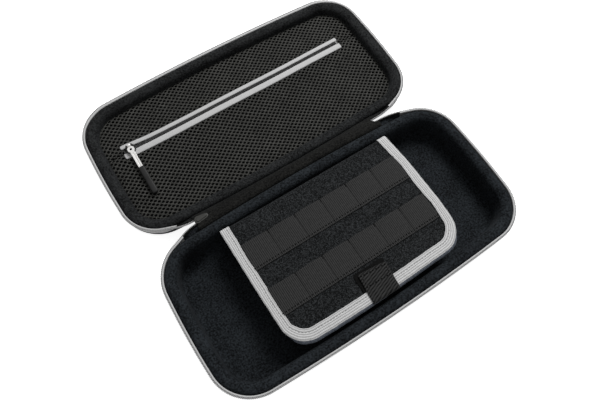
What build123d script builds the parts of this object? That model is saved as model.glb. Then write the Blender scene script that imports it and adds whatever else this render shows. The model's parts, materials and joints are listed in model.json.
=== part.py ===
from build123d import *
import os
from math import asin, cos, degrees, hypot, radians, sin, sqrt, tan

# Zip-round carrying case for a handheld game console, lying open.
# The origin is the centre of the base's underside. X runs along the case, Y towards the lid, Z up.

# Driving dimensions, in millimetres and degrees

# Plan outline at the outer edge of the zip, the same for both halves
RIM_LENGTH = 300.0
RIM_WIDTH = 149.5
LONG_SIDE_RADIUS = 2200.0
SHORT_SIDE_RADIUS = 700.0
CORNER_RADIUS = 37.0

# Moulded shells
BASE_HEIGHT = 31.0
LID_HEIGHT = 20.0
BASE_FLOOR = 4.5
LID_FLOOR = 4.0
BODY_INSET = 1.0
LIP_INSET = 2.4
LIP_DEPTH = 9.0
CAVITY_INSET = 12.5
OUTER_DRAFT = 8.0
CAVITY_DRAFT = 2.0
BOTTOM_RADIUS = 9.0
CAVITY_RADIUS = 3.5
ROLL_INNER_RADIUS = 5.5
ROLL_OUTER_RADIUS = 4.0
ROLL_DROP = 0.3

# Main zip
CHAIN_WIDTH = 2.6
CHAIN_HEIGHT = 2.4
CHAIN_DROP = 0.2
TAPE_THICKNESS = 1.1
TAIL_LENGTH = 26.0
TAIL_SPREAD = 2.15
TAIL_LEVEL_RUN = 6.8
TAIL_FLARE = 1.0
SLIDER_SPINE_GAP = 0.5
SLIDER_LENGTH = 12.0
SLIDER_HEAD_RADIUS = 4.4
SLIDER_NOSE_RADIUS = 2.4
SLIDER_PLATE = 1.1
SLIDER_NECK = 0.8
SLIDER_NECK_LENGTH = 3.0
SLIDER_CLEARANCE = 0.2

# Fabric spine, and the line behind the zip that the lid turns on
HINGE_OFFSET = 4.85
SPINE_HALF_LENGTH = 86.0
SPINE_THICKNESS = 1.1
SPINE_SEAM_DEPTH = 8.5
SPINE_TOP_DROP = 2.5
SPINE_WEB_DROP = 1.6

# Pulls, and the lugs and pins that carry them
PIN_RADIUS = 0.8
PIN_CLEARANCE = 0.2
KNUCKLE_RADIUS = 1.8
KNUCKLE_WIDTH = 3.2
LUG_RADIUS = 1.3
LUG_THICKNESS = 1.2
PULL_PLATE = 1.4
PULL_RING_RADIUS = 3.0
PULL_HOLE_RADIUS = 1.4
PULL_RING_REACH = 4.2
PULL_BAR_WIDTH = 4.5
SLEEVE_WIDTH = 5.6
SLEEVE_THICKNESS = 3.0
SLEEVE_GRIP = 5.0
SLEEVE_ROUNDING = 0.7
ZIP_PULL_BAR = 8.0
ZIP_PULL_LENGTH = 17.0
POCKET_PULL_BAR = 24.2
POCKET_PULL_LENGTH = 53.0

# Mesh pocket in the lid
MESH_RECESS = 8.5
MESH_THICKNESS = 0.8
POCKET_ZIP_OFFSET = 19.1
POCKET_ZIP_LENGTH = 239.0
POCKET_ZIP_SHIFT = -2.5
WIDE_STRIP = 6.0
NARROW_STRIP = 4.0
STRIP_THICKNESS = 1.0
STRIP_LAP = 1.0
STRIP_END_RADIUS = 1.9
COIL_WIDTH = 3.6
COIL_HEIGHT = 1.5
COIL_SIDE_GAP = 0.2
COIL_END_MARGIN = 3.0
STOP_LENGTH = 1.5
POCKET_SLIDER_X = -114.0
POCKET_SLIDER_LENGTH = 8.5
POCKET_SLIDER_NEAR = 3.5
POCKET_SLIDER_FAR = 1.6
POCKET_PIVOT_OFFSET = 2.1
POCKET_SLIDER_ROUNDING = 1.2

# Padded flap with the card pockets
FLAP_LENGTH = 174.0
FLAP_FRONT_MARGIN = 17.25
FLAP_PIVOT_MARGIN = 16.4
FLAP_PIVOT_DROP = 1.1
FLAP_PANEL_SETBACK = 2.35
FLAP_THICKNESS = 4.0
FLAP_RISE = 2.4
FLAP_CORNER_RADIUS = 22.9
FLAP_TAB_THICKNESS = 0.8
FLAP_TAB_MARGIN = 3.0
FLAP_TAB_GAP = 0.15
BINDING_WIDTH = 8.5
BINDING_THICKNESS = 0.9
BINDING_ROUNDING = 1.2
POCKET_COUNT = 6
POCKET_DEPTH = 24.9
POCKET_HEM = 2.5
POCKET_WALL = 0.9
POCKET_BULGE = 1.3
POCKET_SEAM = 1.5
REAR_POCKET_MARGIN = 17.3
FRONT_POCKET_MARGIN = 28.8
HINGE_TAPE_THICKNESS = 1.0
HINGE_TAPE_DEPTH = 14.0

# Strap that holds the flap down
STRAP_X = 0.5
STRAP_WIDTH = 26.0
STRAP_THICKNESS = 1.6
STRAP_REACH = 26.5
STRAP_BEND_RADIUS = 2.4
STRAP_TAIL_DEPTH = 12.0
STRAP_TAIL_GAP = 0.2
PATCH_THICKNESS = 0.8
FLAP_PATCH_WIDTH = 30.0
FLAP_PATCH_LENGTH = 18.0
HOOK_PATCH_MARGIN = 1.0
HOOK_PATCH_LENGTH = 7.0
WALL_PATCH_WIDTH = 30.0
WALL_PATCH_TOP = 6.5
WALL_PATCH_BOTTOM = 16.0

# Clearances: between sewn pieces, between moving pieces, and off the well's sloping wall
SEAM_GAP = 0.05
RUNNING_GAP = 0.3
WALL_GAP = 0.6

# Places worked out from the sizes above
HINGE_Y = RIM_WIDTH / 2 + HINGE_OFFSET
HINGE_Z = (BASE_HEIGHT + LID_HEIGHT) / 2
LID_Y = 2 * HINGE_Y
TAIL_START = SPINE_HALF_LENGTH + TAIL_LENGTH
SLIDER_X = -(SPINE_HALF_LENGTH + SLIDER_SPINE_GAP + SLIDER_LENGTH / 2)
MESH_TOP = LID_HEIGHT - MESH_RECESS
MESH_BOTTOM = MESH_TOP - MESH_THICKNESS
STRIP_BOTTOM = MESH_TOP + SEAM_GAP
STRIP_TOP = STRIP_BOTTOM + STRIP_THICKNESS
STRIP_INNER = COIL_WIDTH / 2 + COIL_SIDE_GAP
COIL_LENGTH = POCKET_ZIP_LENGTH - 2 * COIL_END_MARGIN
FLAP_TOP = BASE_HEIGHT + FLAP_RISE
FLAP_BOTTOM = FLAP_TOP - FLAP_THICKNESS
FLAP_FRONT = FLAP_FRONT_MARGIN - RIM_WIDTH / 2
FLAP_PIVOT_Y = RIM_WIDTH / 2 - FLAP_PIVOT_MARGIN
FLAP_PIVOT_Z = BASE_HEIGHT - FLAP_PIVOT_DROP
FLAP_BACK = FLAP_PIVOT_Y - FLAP_PANEL_SETBACK
FLAP_TAB_HALF = FLAP_LENGTH / 2 - FLAP_TAB_MARGIN
BINDING_TOP = FLAP_TOP + SEAM_GAP + BINDING_THICKNESS
STRAP_BOTTOM = BINDING_TOP + SEAM_GAP
STRAP_TOP = STRAP_BOTTOM + STRAP_THICKNESS
TAIL_INNER = FLAP_FRONT - STRAP_TAIL_GAP
TAIL_OUTER = TAIL_INNER - STRAP_THICKNESS
TAIL_END = BASE_HEIGHT - STRAP_TAIL_DEPTH

# Hinge side of each half, as seen from its own centre
BASE_SIDE = 1
LID_SIDE = -1


def level(z, y=0.0):
    """A flat work plane at height z, centred on one half of the case."""
    return Plane(origin=(0, y, z), x_dir=(1, 0, 0), z_dir=(0, 0, 1))


def rim_outline(inset):
    """Plan outline of the case, a set distance inside the outer edge of the zip."""
    half_length = RIM_LENGTH / 2 - inset
    half_width = RIM_WIDTH / 2 - inset
    long_radius = LONG_SIDE_RADIUS - inset
    short_radius = SHORT_SIDE_RADIUS - inset
    with BuildSketch(mode=Mode.PRIVATE) as outline:
        with Locations((0, half_width - long_radius)):
            Circle(long_radius)
        with Locations((0, long_radius - half_width)):
            Circle(long_radius, mode=Mode.INTERSECT)
        with Locations((half_length - short_radius, 0)):
            Circle(short_radius, mode=Mode.INTERSECT)
        with Locations((short_radius - half_length, 0)):
            Circle(short_radius, mode=Mode.INTERSECT)
        fillet(outline.vertices(), CORNER_RADIUS - inset)
    return outline.sketch_local


def long_side(x, inset):
    """Distance of the outline's long side from its centre line at x."""
    radius = LONG_SIDE_RADIUS - inset
    return RIM_WIDTH / 2 - inset - radius + sqrt(radius**2 - x**2)


def add_band(centre_y, bottom, top, outer_inset, inner_inset):
    """A closed band that follows the case's outline all the way round."""
    with BuildSketch(level(bottom, centre_y)) as profile:
        add(rim_outline(outer_inset))
        add(rim_outline(inner_inset), mode=Mode.SUBTRACT)
    extrude(profile.sketch, amount=top - bottom)


def add_side_strip(centre_y, side, centre_x, length, bottom, top, outer_inset, inner_inset):
    """A piece of such a band, on one long side of the case."""
    with BuildSketch(level(bottom, centre_y)) as profile:
        add(rim_outline(outer_inset))
        add(rim_outline(inner_inset), mode=Mode.SUBTRACT)
        with Locations((centre_x, side * RIM_WIDTH / 2)):
            Rectangle(length, RIM_WIDTH, mode=Mode.INTERSECT)
    extrude(profile.sketch, amount=top - bottom)


def open_hinge_side(centre_y, side, bottom, top):
    """Leave out the stretch along the hinge, where the zip turns off the rim."""
    with BuildSketch(level(bottom, centre_y)) as profile:
        with Locations((0, side * RIM_WIDTH / 2)):
            Rectangle(2 * TAIL_START, RIM_WIDTH)
    extrude(profile.sketch, amount=top - bottom, mode=Mode.SUBTRACT)


def add_shell(part, centre_y, height, floor):
    """One moulded half: a pillowed tray whose rim is a soft roll, stepped in for the zip's tape."""
    step = height - LIP_DEPTH
    rim = height - ROLL_DROP
    with BuildSketch(level(step, centre_y)) as profile:
        add(rim_outline(BODY_INSET))
    extrude(profile.sketch, amount=-step, taper=OUTER_DRAFT)
    fillet(part.faces().sort_by(Axis.Z)[0].edges(), BOTTOM_RADIUS)
    with BuildSketch(level(step, centre_y)) as profile:
        add(rim_outline(LIP_INSET))
    extrude(profile.sketch, amount=rim - step)
    with BuildSketch(level(rim, centre_y)) as profile:
        add(rim_outline(CAVITY_INSET))
    extrude(profile.sketch, amount=floor - rim, taper=CAVITY_DRAFT, mode=Mode.SUBTRACT)
    well_floor = part.faces().filter_by(Axis.Z).sort_by(Axis.Z)[1]
    fillet(well_floor.edges(), CAVITY_RADIUS)
    fillet(part.faces().sort_by(Axis.Z)[-1].inner_wires()[0].edges(), ROLL_INNER_RADIUS)
    fillet(part.faces().sort_by(Axis.Z)[-1].outer_wire().edges(), ROLL_OUTER_RADIUS)


def add_zip_tape(centre_y, side, height):
    """Woven zip tape, upright against the shell's lip, open along the hinge."""
    bottom = height - LIP_DEPTH + SEAM_GAP
    top = height - CHAIN_DROP - CHAIN_HEIGHT - SEAM_GAP
    inner = LIP_INSET - SEAM_GAP
    add_band(centre_y, bottom, top, inner - TAPE_THICKNESS, inner)
    open_hinge_side(centre_y, side, bottom, top)


def add_zip_chain(centre_y, side, height):
    """Row of zip elements along the free edge of the tape, open along the hinge."""
    top = height - CHAIN_DROP
    bottom = top - CHAIN_HEIGHT
    add_band(centre_y, bottom, top, 0.0, CHAIN_WIDTH)
    open_hinge_side(centre_y, side, bottom, top)


def add_zip_tail(side, height, start_x, end_x):
    """End of a row of zip elements, led off the rim to the middle of the hinge gap."""
    towards_end = 1 if end_x > start_x else -1
    rim_y = side * (long_side(TAIL_START, CHAIN_WIDTH / 2) - HINGE_Y)
    rim_z = height - CHAIN_DROP - CHAIN_HEIGHT / 2
    stations = (
        (start_x, HINGE_Y + rim_y, rim_z),
        (end_x - towards_end * TAIL_LEVEL_RUN, HINGE_Y - side * (TAIL_SPREAD + TAIL_FLARE), HINGE_Z),
        (end_x, HINGE_Y - side * TAIL_SPREAD, HINGE_Z),
    )
    sections = []
    for station in stations:
        with BuildSketch(Plane(origin=station, x_dir=(0, 1, 0), z_dir=(towards_end, 0, 0))) as profile:
            Rectangle(CHAIN_WIDTH, CHAIN_HEIGHT)
        sections.append(profile.sketch)
    loft(sections, ruled=True)


def add_lugs(pin, foot):
    """Two lugs and the pin between them. The pin plane's normal is the pin, its Y points to the foot."""
    inner = KNUCKLE_WIDTH / 2 + RUNNING_GAP
    for side in (-1, 1):
        with BuildSketch(pin.offset(side * inner)) as profile:
            Circle(LUG_RADIUS)
            with Locations((0, foot / 2)):
                Rectangle(2 * LUG_RADIUS, foot)
        extrude(profile.sketch, amount=side * LUG_THICKNESS)
    with BuildSketch(pin) as profile:
        Circle(PIN_RADIUS)
    extrude(profile.sketch, amount=inner, both=True)


def add_pull_link(pivot, bar_end):
    """Stamped pull: a knuckle on its pin, a ring with a hole, and a bar along the plane's Y."""
    with BuildSketch(pivot) as profile:
        with Locations((0, PULL_RING_REACH)):
            Circle(PULL_RING_RADIUS)
        with Locations((0, PULL_RING_REACH / 2)):
            Rectangle(KNUCKLE_WIDTH, PULL_RING_REACH)
        with Locations((0, (PULL_RING_REACH + bar_end) / 2)):
            Rectangle(PULL_BAR_WIDTH, bar_end - PULL_RING_REACH)
        with Locations((0, PULL_RING_REACH)):
            Circle(PULL_HOLE_RADIUS, mode=Mode.SUBTRACT)
    extrude(profile.sketch, amount=PULL_PLATE / 2, both=True)
    across = Plane(origin=pivot.origin, x_dir=pivot.y_dir, z_dir=pivot.x_dir)
    with BuildSketch(across) as profile:
        Circle(KNUCKLE_RADIUS)
    extrude(profile.sketch, amount=KNUCKLE_WIDTH / 2, both=True)
    with BuildSketch(across) as profile:
        Circle(PIN_RADIUS + PIN_CLEARANCE)
    extrude(profile.sketch, amount=KNUCKLE_WIDTH, both=True, mode=Mode.SUBTRACT)


def add_pull_sleeve(part, pivot, start, end):
    """Soft sleeve moulded over the end of a pull's bar."""
    with BuildSketch(pivot) as profile:
        with Locations((0, (start + end) / 2)):
            Rectangle(SLEEVE_WIDTH, end - start)
    extrude(profile.sketch, amount=SLEEVE_THICKNESS / 2, both=True)
    fillet(part.edges(), SLEEVE_ROUNDING)
    socket = SLEEVE_GRIP + SEAM_GAP
    with BuildSketch(pivot) as profile:
        with Locations((0, start + socket / 2)):
            Rectangle(PULL_BAR_WIDTH + 2 * SEAM_GAP, socket)
    extrude(profile.sketch, amount=PULL_PLATE / 2 + SEAM_GAP, both=True, mode=Mode.SUBTRACT)


def flap_outline(inset, back):
    """Flap in plan, with two round front corners, a set distance inside its outer edge."""
    front = FLAP_FRONT + inset
    with BuildSketch(mode=Mode.PRIVATE) as outline:
        with Locations((0, (front + back) / 2)):
            Rectangle(FLAP_LENGTH - 2 * inset, back - front)
        fillet(outline.vertices().group_by(Axis.Y)[0], FLAP_CORNER_RADIUS - inset)
    return outline.sketch_local


def pocket_section(pitch, inset, wall):
    """One pocket across its width: a low arch on straight feet, standing on the flap."""
    half = pitch / 2 - inset
    with BuildSketch(mode=Mode.PRIVATE) as section:
        with BuildLine():
            ThreePointArc((-half, wall), (0, wall + POCKET_BULGE), (half, wall))
            if wall:
                Polyline((half, wall), (half, 0), (-half, 0), (-half, wall))
            else:
                Line((half, 0), (-half, 0))
        make_face()
    return section.sketch_local


def add_card_pockets(mouth_y):
    """One strip of webbing sewn down between the pockets and along its front edge."""
    pitch = (FLAP_LENGTH - 2 * BINDING_WIDTH - 2 * RUNNING_GAP) / POCKET_COUNT
    mouth = Plane(origin=(0, mouth_y, FLAP_TOP + SEAM_GAP), x_dir=(1, 0, 0), z_dir=(0, -1, 0))
    with BuildSketch(mouth) as webbing:
        with GridLocations(pitch, 0, POCKET_COUNT, 1):
            add(pocket_section(pitch, 0, POCKET_WALL))
    extrude(webbing.sketch, amount=POCKET_DEPTH)
    with BuildSketch(mouth) as hollows:
        with GridLocations(pitch, 0, POCKET_COUNT, 1):
            add(pocket_section(pitch, POCKET_SEAM, 0))
    extrude(hollows.sketch, amount=POCKET_DEPTH - POCKET_HEM, mode=Mode.SUBTRACT)


# Base half

with BuildPart() as base_shell:
    add_shell(base_shell, 0, BASE_HEIGHT, BASE_FLOOR)

with BuildPart() as base_zip_tape:
    add_zip_tape(0, BASE_SIDE, BASE_HEIGHT)

# The base's row of elements runs on to the slider at one end and to the spine at the other
TAIL_ROOT = TAIL_START + SEAM_GAP
SPINE_TAIL_END = SPINE_HALF_LENGTH + SEAM_GAP
with BuildPart() as base_zip_chain:
    add_zip_chain(0, BASE_SIDE, BASE_HEIGHT)
    add_zip_tail(BASE_SIDE, BASE_HEIGHT, -TAIL_ROOT, SLIDER_X)
    add_zip_tail(BASE_SIDE, BASE_HEIGHT, TAIL_ROOT, SPINE_TAIL_END)

# Fabric spine: a seam strip on each shell's back and a sloping web across the gap
with BuildPart() as spine:
    seam_middle = LIP_INSET - SEAM_GAP - SPINE_THICKNESS / 2
    web_half = HINGE_OFFSET + seam_middle
    web_high = BASE_HEIGHT - SPINE_TOP_DROP - SPINE_WEB_DROP
    web_low = LID_HEIGHT - SPINE_TOP_DROP
    web_middle = (web_high + web_low) / 2
    web_slope = (web_low - web_high) / (2 * web_half)
    web_reach = web_half + long_side(0, 0) - long_side(SPINE_HALF_LENGTH, 0)
    web_ends = [
        (HINGE_Y + end * web_reach, web_middle + end * web_reach * web_slope) for end in (-1, 1)
    ]
    with BuildSketch(Plane.YZ.offset(-SPINE_HALF_LENGTH)):
        with BuildLine():
            Polyline(
                web_ends[0],
                web_ends[1],
                (web_ends[1][0], web_ends[1][1] - SPINE_THICKNESS),
                (web_ends[0][0], web_ends[0][1] - SPINE_THICKNESS),
                close=True,
            )
        make_face()
    extrude(amount=2 * SPINE_HALF_LENGTH)
    with BuildSketch():
        with Locations((0, HINGE_Y)):
            Rectangle(2 * SPINE_HALF_LENGTH, LID_Y)
        add(rim_outline(seam_middle), mode=Mode.SUBTRACT)
        with Locations((0, LID_Y)):
            add(rim_outline(seam_middle), mode=Mode.SUBTRACT)
    extrude(amount=BASE_HEIGHT, mode=Mode.INTERSECT)
    for centre_y, side, height in ((0, BASE_SIDE, BASE_HEIGHT), (LID_Y, LID_SIDE, LID_HEIGHT)):
        add_side_strip(
            centre_y, side, 0, 2 * SPINE_HALF_LENGTH,
            height - SPINE_SEAM_DEPTH, height - SPINE_TOP_DROP,
            LIP_INSET - SEAM_GAP - SPINE_THICKNESS, LIP_INSET - SEAM_GAP,
        )

# Main slider: two plates and a neck round both rows of elements, with lugs for its pull underneath
slider_half_gap = CHAIN_HEIGHT / 2 + SLIDER_CLEARANCE
slider_bottom = HINGE_Z - slider_half_gap - SLIDER_PLATE
zip_pull_pivot_z = slider_bottom - KNUCKLE_RADIUS - RUNNING_GAP
zip_pull_origin = (SLIDER_X, HINGE_Y, zip_pull_pivot_z)
with BuildPart() as zip_slider:
    head_x = SLIDER_HEAD_RADIUS - SLIDER_LENGTH / 2
    nose_x = SLIDER_LENGTH / 2 - SLIDER_NOSE_RADIUS
    for plate_bottom in (slider_bottom, HINGE_Z + slider_half_gap):
        with BuildSketch(Plane(origin=(SLIDER_X, HINGE_Y, plate_bottom), z_dir=(0, 0, 1))):
            with Locations((head_x, 0)):
                Circle(SLIDER_HEAD_RADIUS)
            with Locations((nose_x, 0)):
                Circle(SLIDER_NOSE_RADIUS)
            make_hull()
        extrude(amount=SLIDER_PLATE)
    with BuildSketch(Plane(origin=(SLIDER_X + head_x, HINGE_Y, slider_bottom), z_dir=(0, 0, 1))):
        with Locations((-SLIDER_NECK_LENGTH / 2, 0)):
            Rectangle(SLIDER_NECK_LENGTH, SLIDER_NECK)
    extrude(amount=2 * (slider_half_gap + SLIDER_PLATE))
    add_lugs(
        Plane(origin=zip_pull_origin, x_dir=(-1, 0, 0), z_dir=(0, 1, 0)),
        slider_bottom - zip_pull_pivot_z,
    )

# The main slider's pull hangs down and swings along the gap
zip_pull_pivot = Plane(origin=zip_pull_origin, x_dir=(0, 1, 0), z_dir=(-1, 0, 0))
with BuildPart() as zip_pull_link:
    add_pull_link(zip_pull_pivot, ZIP_PULL_BAR + SLEEVE_GRIP)

with BuildPart() as zip_pull_sleeve:
    add_pull_sleeve(zip_pull_sleeve, zip_pull_pivot, ZIP_PULL_BAR, ZIP_PULL_LENGTH)

# Tape that carries the flap: sewn down the back wall, turned forward at its top
wall_inset = CAVITY_INSET + WALL_GAP
tape_front = FLAP_PIVOT_Y + hypot(FLAP_TAB_GAP, FLAP_TAB_THICKNESS / 2) + RUNNING_GAP
with BuildPart() as flap_hinge_tape:
    add_side_strip(
        0, BASE_SIDE, 0, 2 * FLAP_TAB_HALF,
        BASE_HEIGHT - HINGE_TAPE_DEPTH, FLAP_PIVOT_Z + FLAP_TAB_THICKNESS / 2,
        wall_inset, wall_inset + HINGE_TAPE_THICKNESS,
    )
    with BuildSketch(level(FLAP_PIVOT_Z - FLAP_TAB_THICKNESS / 2)):
        add(rim_outline(wall_inset + HINGE_TAPE_THICKNESS / 2))
        with Locations((0, tape_front + RIM_WIDTH / 2)):
            Rectangle(2 * FLAP_TAB_HALF, RIM_WIDTH, mode=Mode.INTERSECT)
    extrude(amount=FLAP_TAB_THICKNESS)

# Loop patch on the front wall, which the strap's tail grips
with BuildPart() as wall_loop_patch:
    add_side_strip(
        0, -BASE_SIDE, STRAP_X, WALL_PATCH_WIDTH,
        BASE_HEIGHT - WALL_PATCH_BOTTOM, BASE_HEIGHT - WALL_PATCH_TOP,
        wall_inset, wall_inset + PATCH_THICKNESS,
    )

# Lid half

with BuildPart() as lid_shell:
    add_shell(lid_shell, LID_Y, LID_HEIGHT, LID_FLOOR)

with BuildPart() as lid_zip_tape:
    add_zip_tape(LID_Y, LID_SIDE, LID_HEIGHT)

with BuildPart() as lid_zip_chain:
    add_zip_chain(LID_Y, LID_SIDE, LID_HEIGHT)

# The lid's ends of the row bend with the spine, so they are pieces of their own
TAIL_BUTT = TAIL_START - SEAM_GAP
with BuildPart() as lid_zip_tail_left:
    add_zip_tail(LID_SIDE, LID_HEIGHT, -TAIL_BUTT, SLIDER_X)

with BuildPart() as lid_zip_tail_right:
    add_zip_tail(LID_SIDE, LID_HEIGHT, TAIL_BUTT, SPINE_TAIL_END)


# Mesh panels, sewn together beyond the ends of the pocket's zip and cut away behind it
def add_mesh_panel(side):
    """Mesh between the zip's seam line and the wall on one side of it."""
    mesh_depth = MESH_RECESS + MESH_THICKNESS
    wide_edge = STRIP_INNER + WIDE_STRIP - STRIP_LAP
    narrow_edge = STRIP_INNER + NARROW_STRIP - STRIP_LAP
    with BuildSketch(level(MESH_BOTTOM, LID_Y)) as profile:
        add(rim_outline(CAVITY_INSET + mesh_depth * tan(radians(CAVITY_DRAFT)) + SEAM_GAP))
        with Locations((0, POCKET_ZIP_OFFSET + side * (SEAM_GAP + RIM_WIDTH / 2))):
            Rectangle(RIM_LENGTH, RIM_WIDTH, mode=Mode.INTERSECT)
        with Locations((POCKET_ZIP_SHIFT, POCKET_ZIP_OFFSET + (narrow_edge - wide_edge) / 2)):
            slot_length = POCKET_ZIP_LENGTH - 2 * STRIP_LAP
            Rectangle(slot_length, wide_edge + narrow_edge, mode=Mode.SUBTRACT)
    extrude(profile.sketch, amount=MESH_THICKNESS)


with BuildPart() as pocket_mesh_hinge_side:
    add_mesh_panel(-1)

with BuildPart() as pocket_mesh_far_side:
    add_mesh_panel(1)


def add_zip_strip(side, width):
    """Folded fabric strip along one side of the pocket's zip."""
    with BuildSketch(level(STRIP_BOTTOM, LID_Y)) as profile:
        with Locations((POCKET_ZIP_SHIFT, POCKET_ZIP_OFFSET + side * (STRIP_INNER + width / 2))):
            RectangleRounded(POCKET_ZIP_LENGTH, width, STRIP_END_RADIUS)
    extrude(profile.sketch, amount=STRIP_THICKNESS)


with BuildPart() as pocket_zip_strip_wide:
    add_zip_strip(-1, WIDE_STRIP)

with BuildPart() as pocket_zip_strip_narrow:
    add_zip_strip(1, NARROW_STRIP)

with BuildPart() as pocket_zip_coil:
    with BuildSketch(level(STRIP_TOP - COIL_HEIGHT, LID_Y)):
        with Locations((POCKET_ZIP_SHIFT, POCKET_ZIP_OFFSET)):
            Rectangle(COIL_LENGTH, COIL_WIDTH)
    extrude(amount=COIL_HEIGHT)

with BuildPart() as pocket_zip_stops:
    with BuildSketch(level(STRIP_TOP - COIL_HEIGHT, LID_Y)):
        stop_pitch = COIL_LENGTH + 2 * SEAM_GAP + STOP_LENGTH
        with Locations((POCKET_ZIP_SHIFT, POCKET_ZIP_OFFSET)):
            with GridLocations(stop_pitch, 0, 2, 1):
                Rectangle(STOP_LENGTH, COIL_WIDTH)
    extrude(amount=COIL_HEIGHT)

# Pocket slider: a plate over the elements, with lugs beyond them for its pull
pocket_plate_bottom = STRIP_TOP + RUNNING_GAP
pocket_plate_top = pocket_plate_bottom + SLIDER_PLATE
pocket_pivot_z = pocket_plate_top + KNUCKLE_RADIUS + RUNNING_GAP
pocket_pivot_y = LID_Y + POCKET_ZIP_OFFSET + POCKET_PIVOT_OFFSET
pocket_pivot_origin = (POCKET_SLIDER_X, pocket_pivot_y, pocket_pivot_z)
with BuildPart() as pocket_slider:
    slider_far = POCKET_PIVOT_OFFSET + POCKET_SLIDER_FAR
    with BuildSketch(level(pocket_plate_bottom, LID_Y + POCKET_ZIP_OFFSET)):
        with Locations((POCKET_SLIDER_X, (slider_far - POCKET_SLIDER_NEAR) / 2)):
            RectangleRounded(POCKET_SLIDER_LENGTH, POCKET_SLIDER_NEAR + slider_far, POCKET_SLIDER_ROUNDING)
    extrude(amount=SLIDER_PLATE)
    add_lugs(
        Plane(origin=pocket_pivot_origin, x_dir=(0, -1, 0), z_dir=(1, 0, 0)),
        pocket_pivot_z - pocket_plate_top,
    )

# The pocket's pull lies towards the hinge, its sleeve just off the mesh
pull_fall = pocket_pivot_z - SLEEVE_THICKNESS / 2 - RUNNING_GAP - MESH_TOP
pull_slope = asin(pull_fall / POCKET_PULL_LENGTH)
pocket_pull_pivot = Plane(
    origin=pocket_pivot_origin, x_dir=(1, 0, 0), z_dir=(0, sin(pull_slope), -cos(pull_slope))
)
with BuildPart() as pocket_pull_link:
    add_pull_link(pocket_pull_pivot, POCKET_PULL_BAR + SLEEVE_GRIP)

with BuildPart() as pocket_pull_sleeve:
    add_pull_sleeve(pocket_pull_sleeve, pocket_pull_pivot, POCKET_PULL_BAR, POCKET_PULL_LENGTH)

# Flap over the well

with BuildPart() as flap_panel:
    with BuildSketch(level(FLAP_BOTTOM)):
        add(flap_outline(BINDING_THICKNESS + SEAM_GAP, FLAP_BACK))
    extrude(amount=FLAP_THICKNESS)
    tab_end = FLAP_PIVOT_Y - FLAP_TAB_GAP
    tab_root = FLAP_BACK - FLAP_PANEL_SETBACK
    with BuildSketch(level(FLAP_PIVOT_Z - FLAP_TAB_THICKNESS / 2)):
        with Locations((0, (tab_root + tab_end) / 2)):
            Rectangle(2 * FLAP_TAB_HALF, tab_end - tab_root)
    extrude(amount=FLAP_TAB_THICKNESS)

# Binding folded round the flap's two sides and front, open at the back
with BuildPart() as flap_binding:
    wrap = BINDING_THICKNESS + SEAM_GAP
    past_back = FLAP_BACK + BINDING_WIDTH
    with BuildSketch(level(FLAP_BOTTOM - wrap)):
        add(flap_outline(0, FLAP_BACK))
    extrude(amount=FLAP_THICKNESS + 2 * wrap)
    folds = flap_binding.faces().filter_by(Axis.Z).edges()
    fillet(folds.filter_by_position(Axis.Y, -RIM_WIDTH, FLAP_BACK, (True, False)), BINDING_ROUNDING)
    with BuildSketch(level(FLAP_BOTTOM - wrap)):
        add(flap_outline(BINDING_WIDTH, past_back))
    extrude(amount=FLAP_THICKNESS + 2 * wrap, mode=Mode.SUBTRACT)
    with BuildSketch(level(FLAP_BOTTOM - SEAM_GAP)):
        add(flap_outline(BINDING_THICKNESS, past_back))
    extrude(amount=FLAP_THICKNESS + 2 * SEAM_GAP, mode=Mode.SUBTRACT)

with BuildPart() as card_pockets_rear:
    add_card_pockets(FLAP_BACK - REAR_POCKET_MARGIN)

with BuildPart() as card_pockets_front:
    add_card_pockets(FLAP_FRONT + FRONT_POCKET_MARGIN + POCKET_DEPTH)

# Patch under the strap's sewn end, in the place that the binding leaves
with BuildPart() as flap_patch:
    patch_front = FLAP_FRONT + BINDING_WIDTH + SEAM_GAP
    with BuildSketch(level(FLAP_TOP + SEAM_GAP)):
        with Locations((STRAP_X, patch_front + FLAP_PATCH_LENGTH / 2)):
            Rectangle(FLAP_PATCH_WIDTH, FLAP_PATCH_LENGTH)
    extrude(amount=PATCH_THICKNESS)

# Strap: flat on the flap, bent over its front edge, tail down the front of the well
with BuildPart() as strap:
    strap_back = FLAP_FRONT + STRAP_REACH
    with BuildSketch(Plane.YZ.offset(STRAP_X - STRAP_WIDTH / 2)) as strap_section:
        with BuildLine():
            Polyline(
                (strap_back, STRAP_TOP), (TAIL_OUTER, STRAP_TOP), (TAIL_OUTER, TAIL_END),
                (TAIL_INNER, TAIL_END), (TAIL_INNER, STRAP_BOTTOM), (strap_back, STRAP_BOTTOM), close=True,
            )
        make_face()
        corners = strap_section.vertices().sort_by_distance((TAIL_OUTER, STRAP_TOP, 0))
        fillet(corners[0], STRAP_BEND_RADIUS)
        corners = strap_section.vertices().sort_by_distance((TAIL_INNER, STRAP_BOTTOM, 0))
        fillet(corners[0], STRAP_BEND_RADIUS - STRAP_THICKNESS)
    extrude(amount=STRAP_WIDTH)

with BuildPart() as strap_hook_patch:
    hook_face = TAIL_OUTER - SEAM_GAP
    with BuildSketch(level(TAIL_END + HOOK_PATCH_MARGIN)):
        with Locations((STRAP_X, hook_face - PATCH_THICKNESS / 2)):
            Rectangle(STRAP_WIDTH - 2 * HOOK_PATCH_MARGIN, PATCH_THICKNESS)
    extrude(amount=HOOK_PATCH_LENGTH)

# One file for each piece

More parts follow.
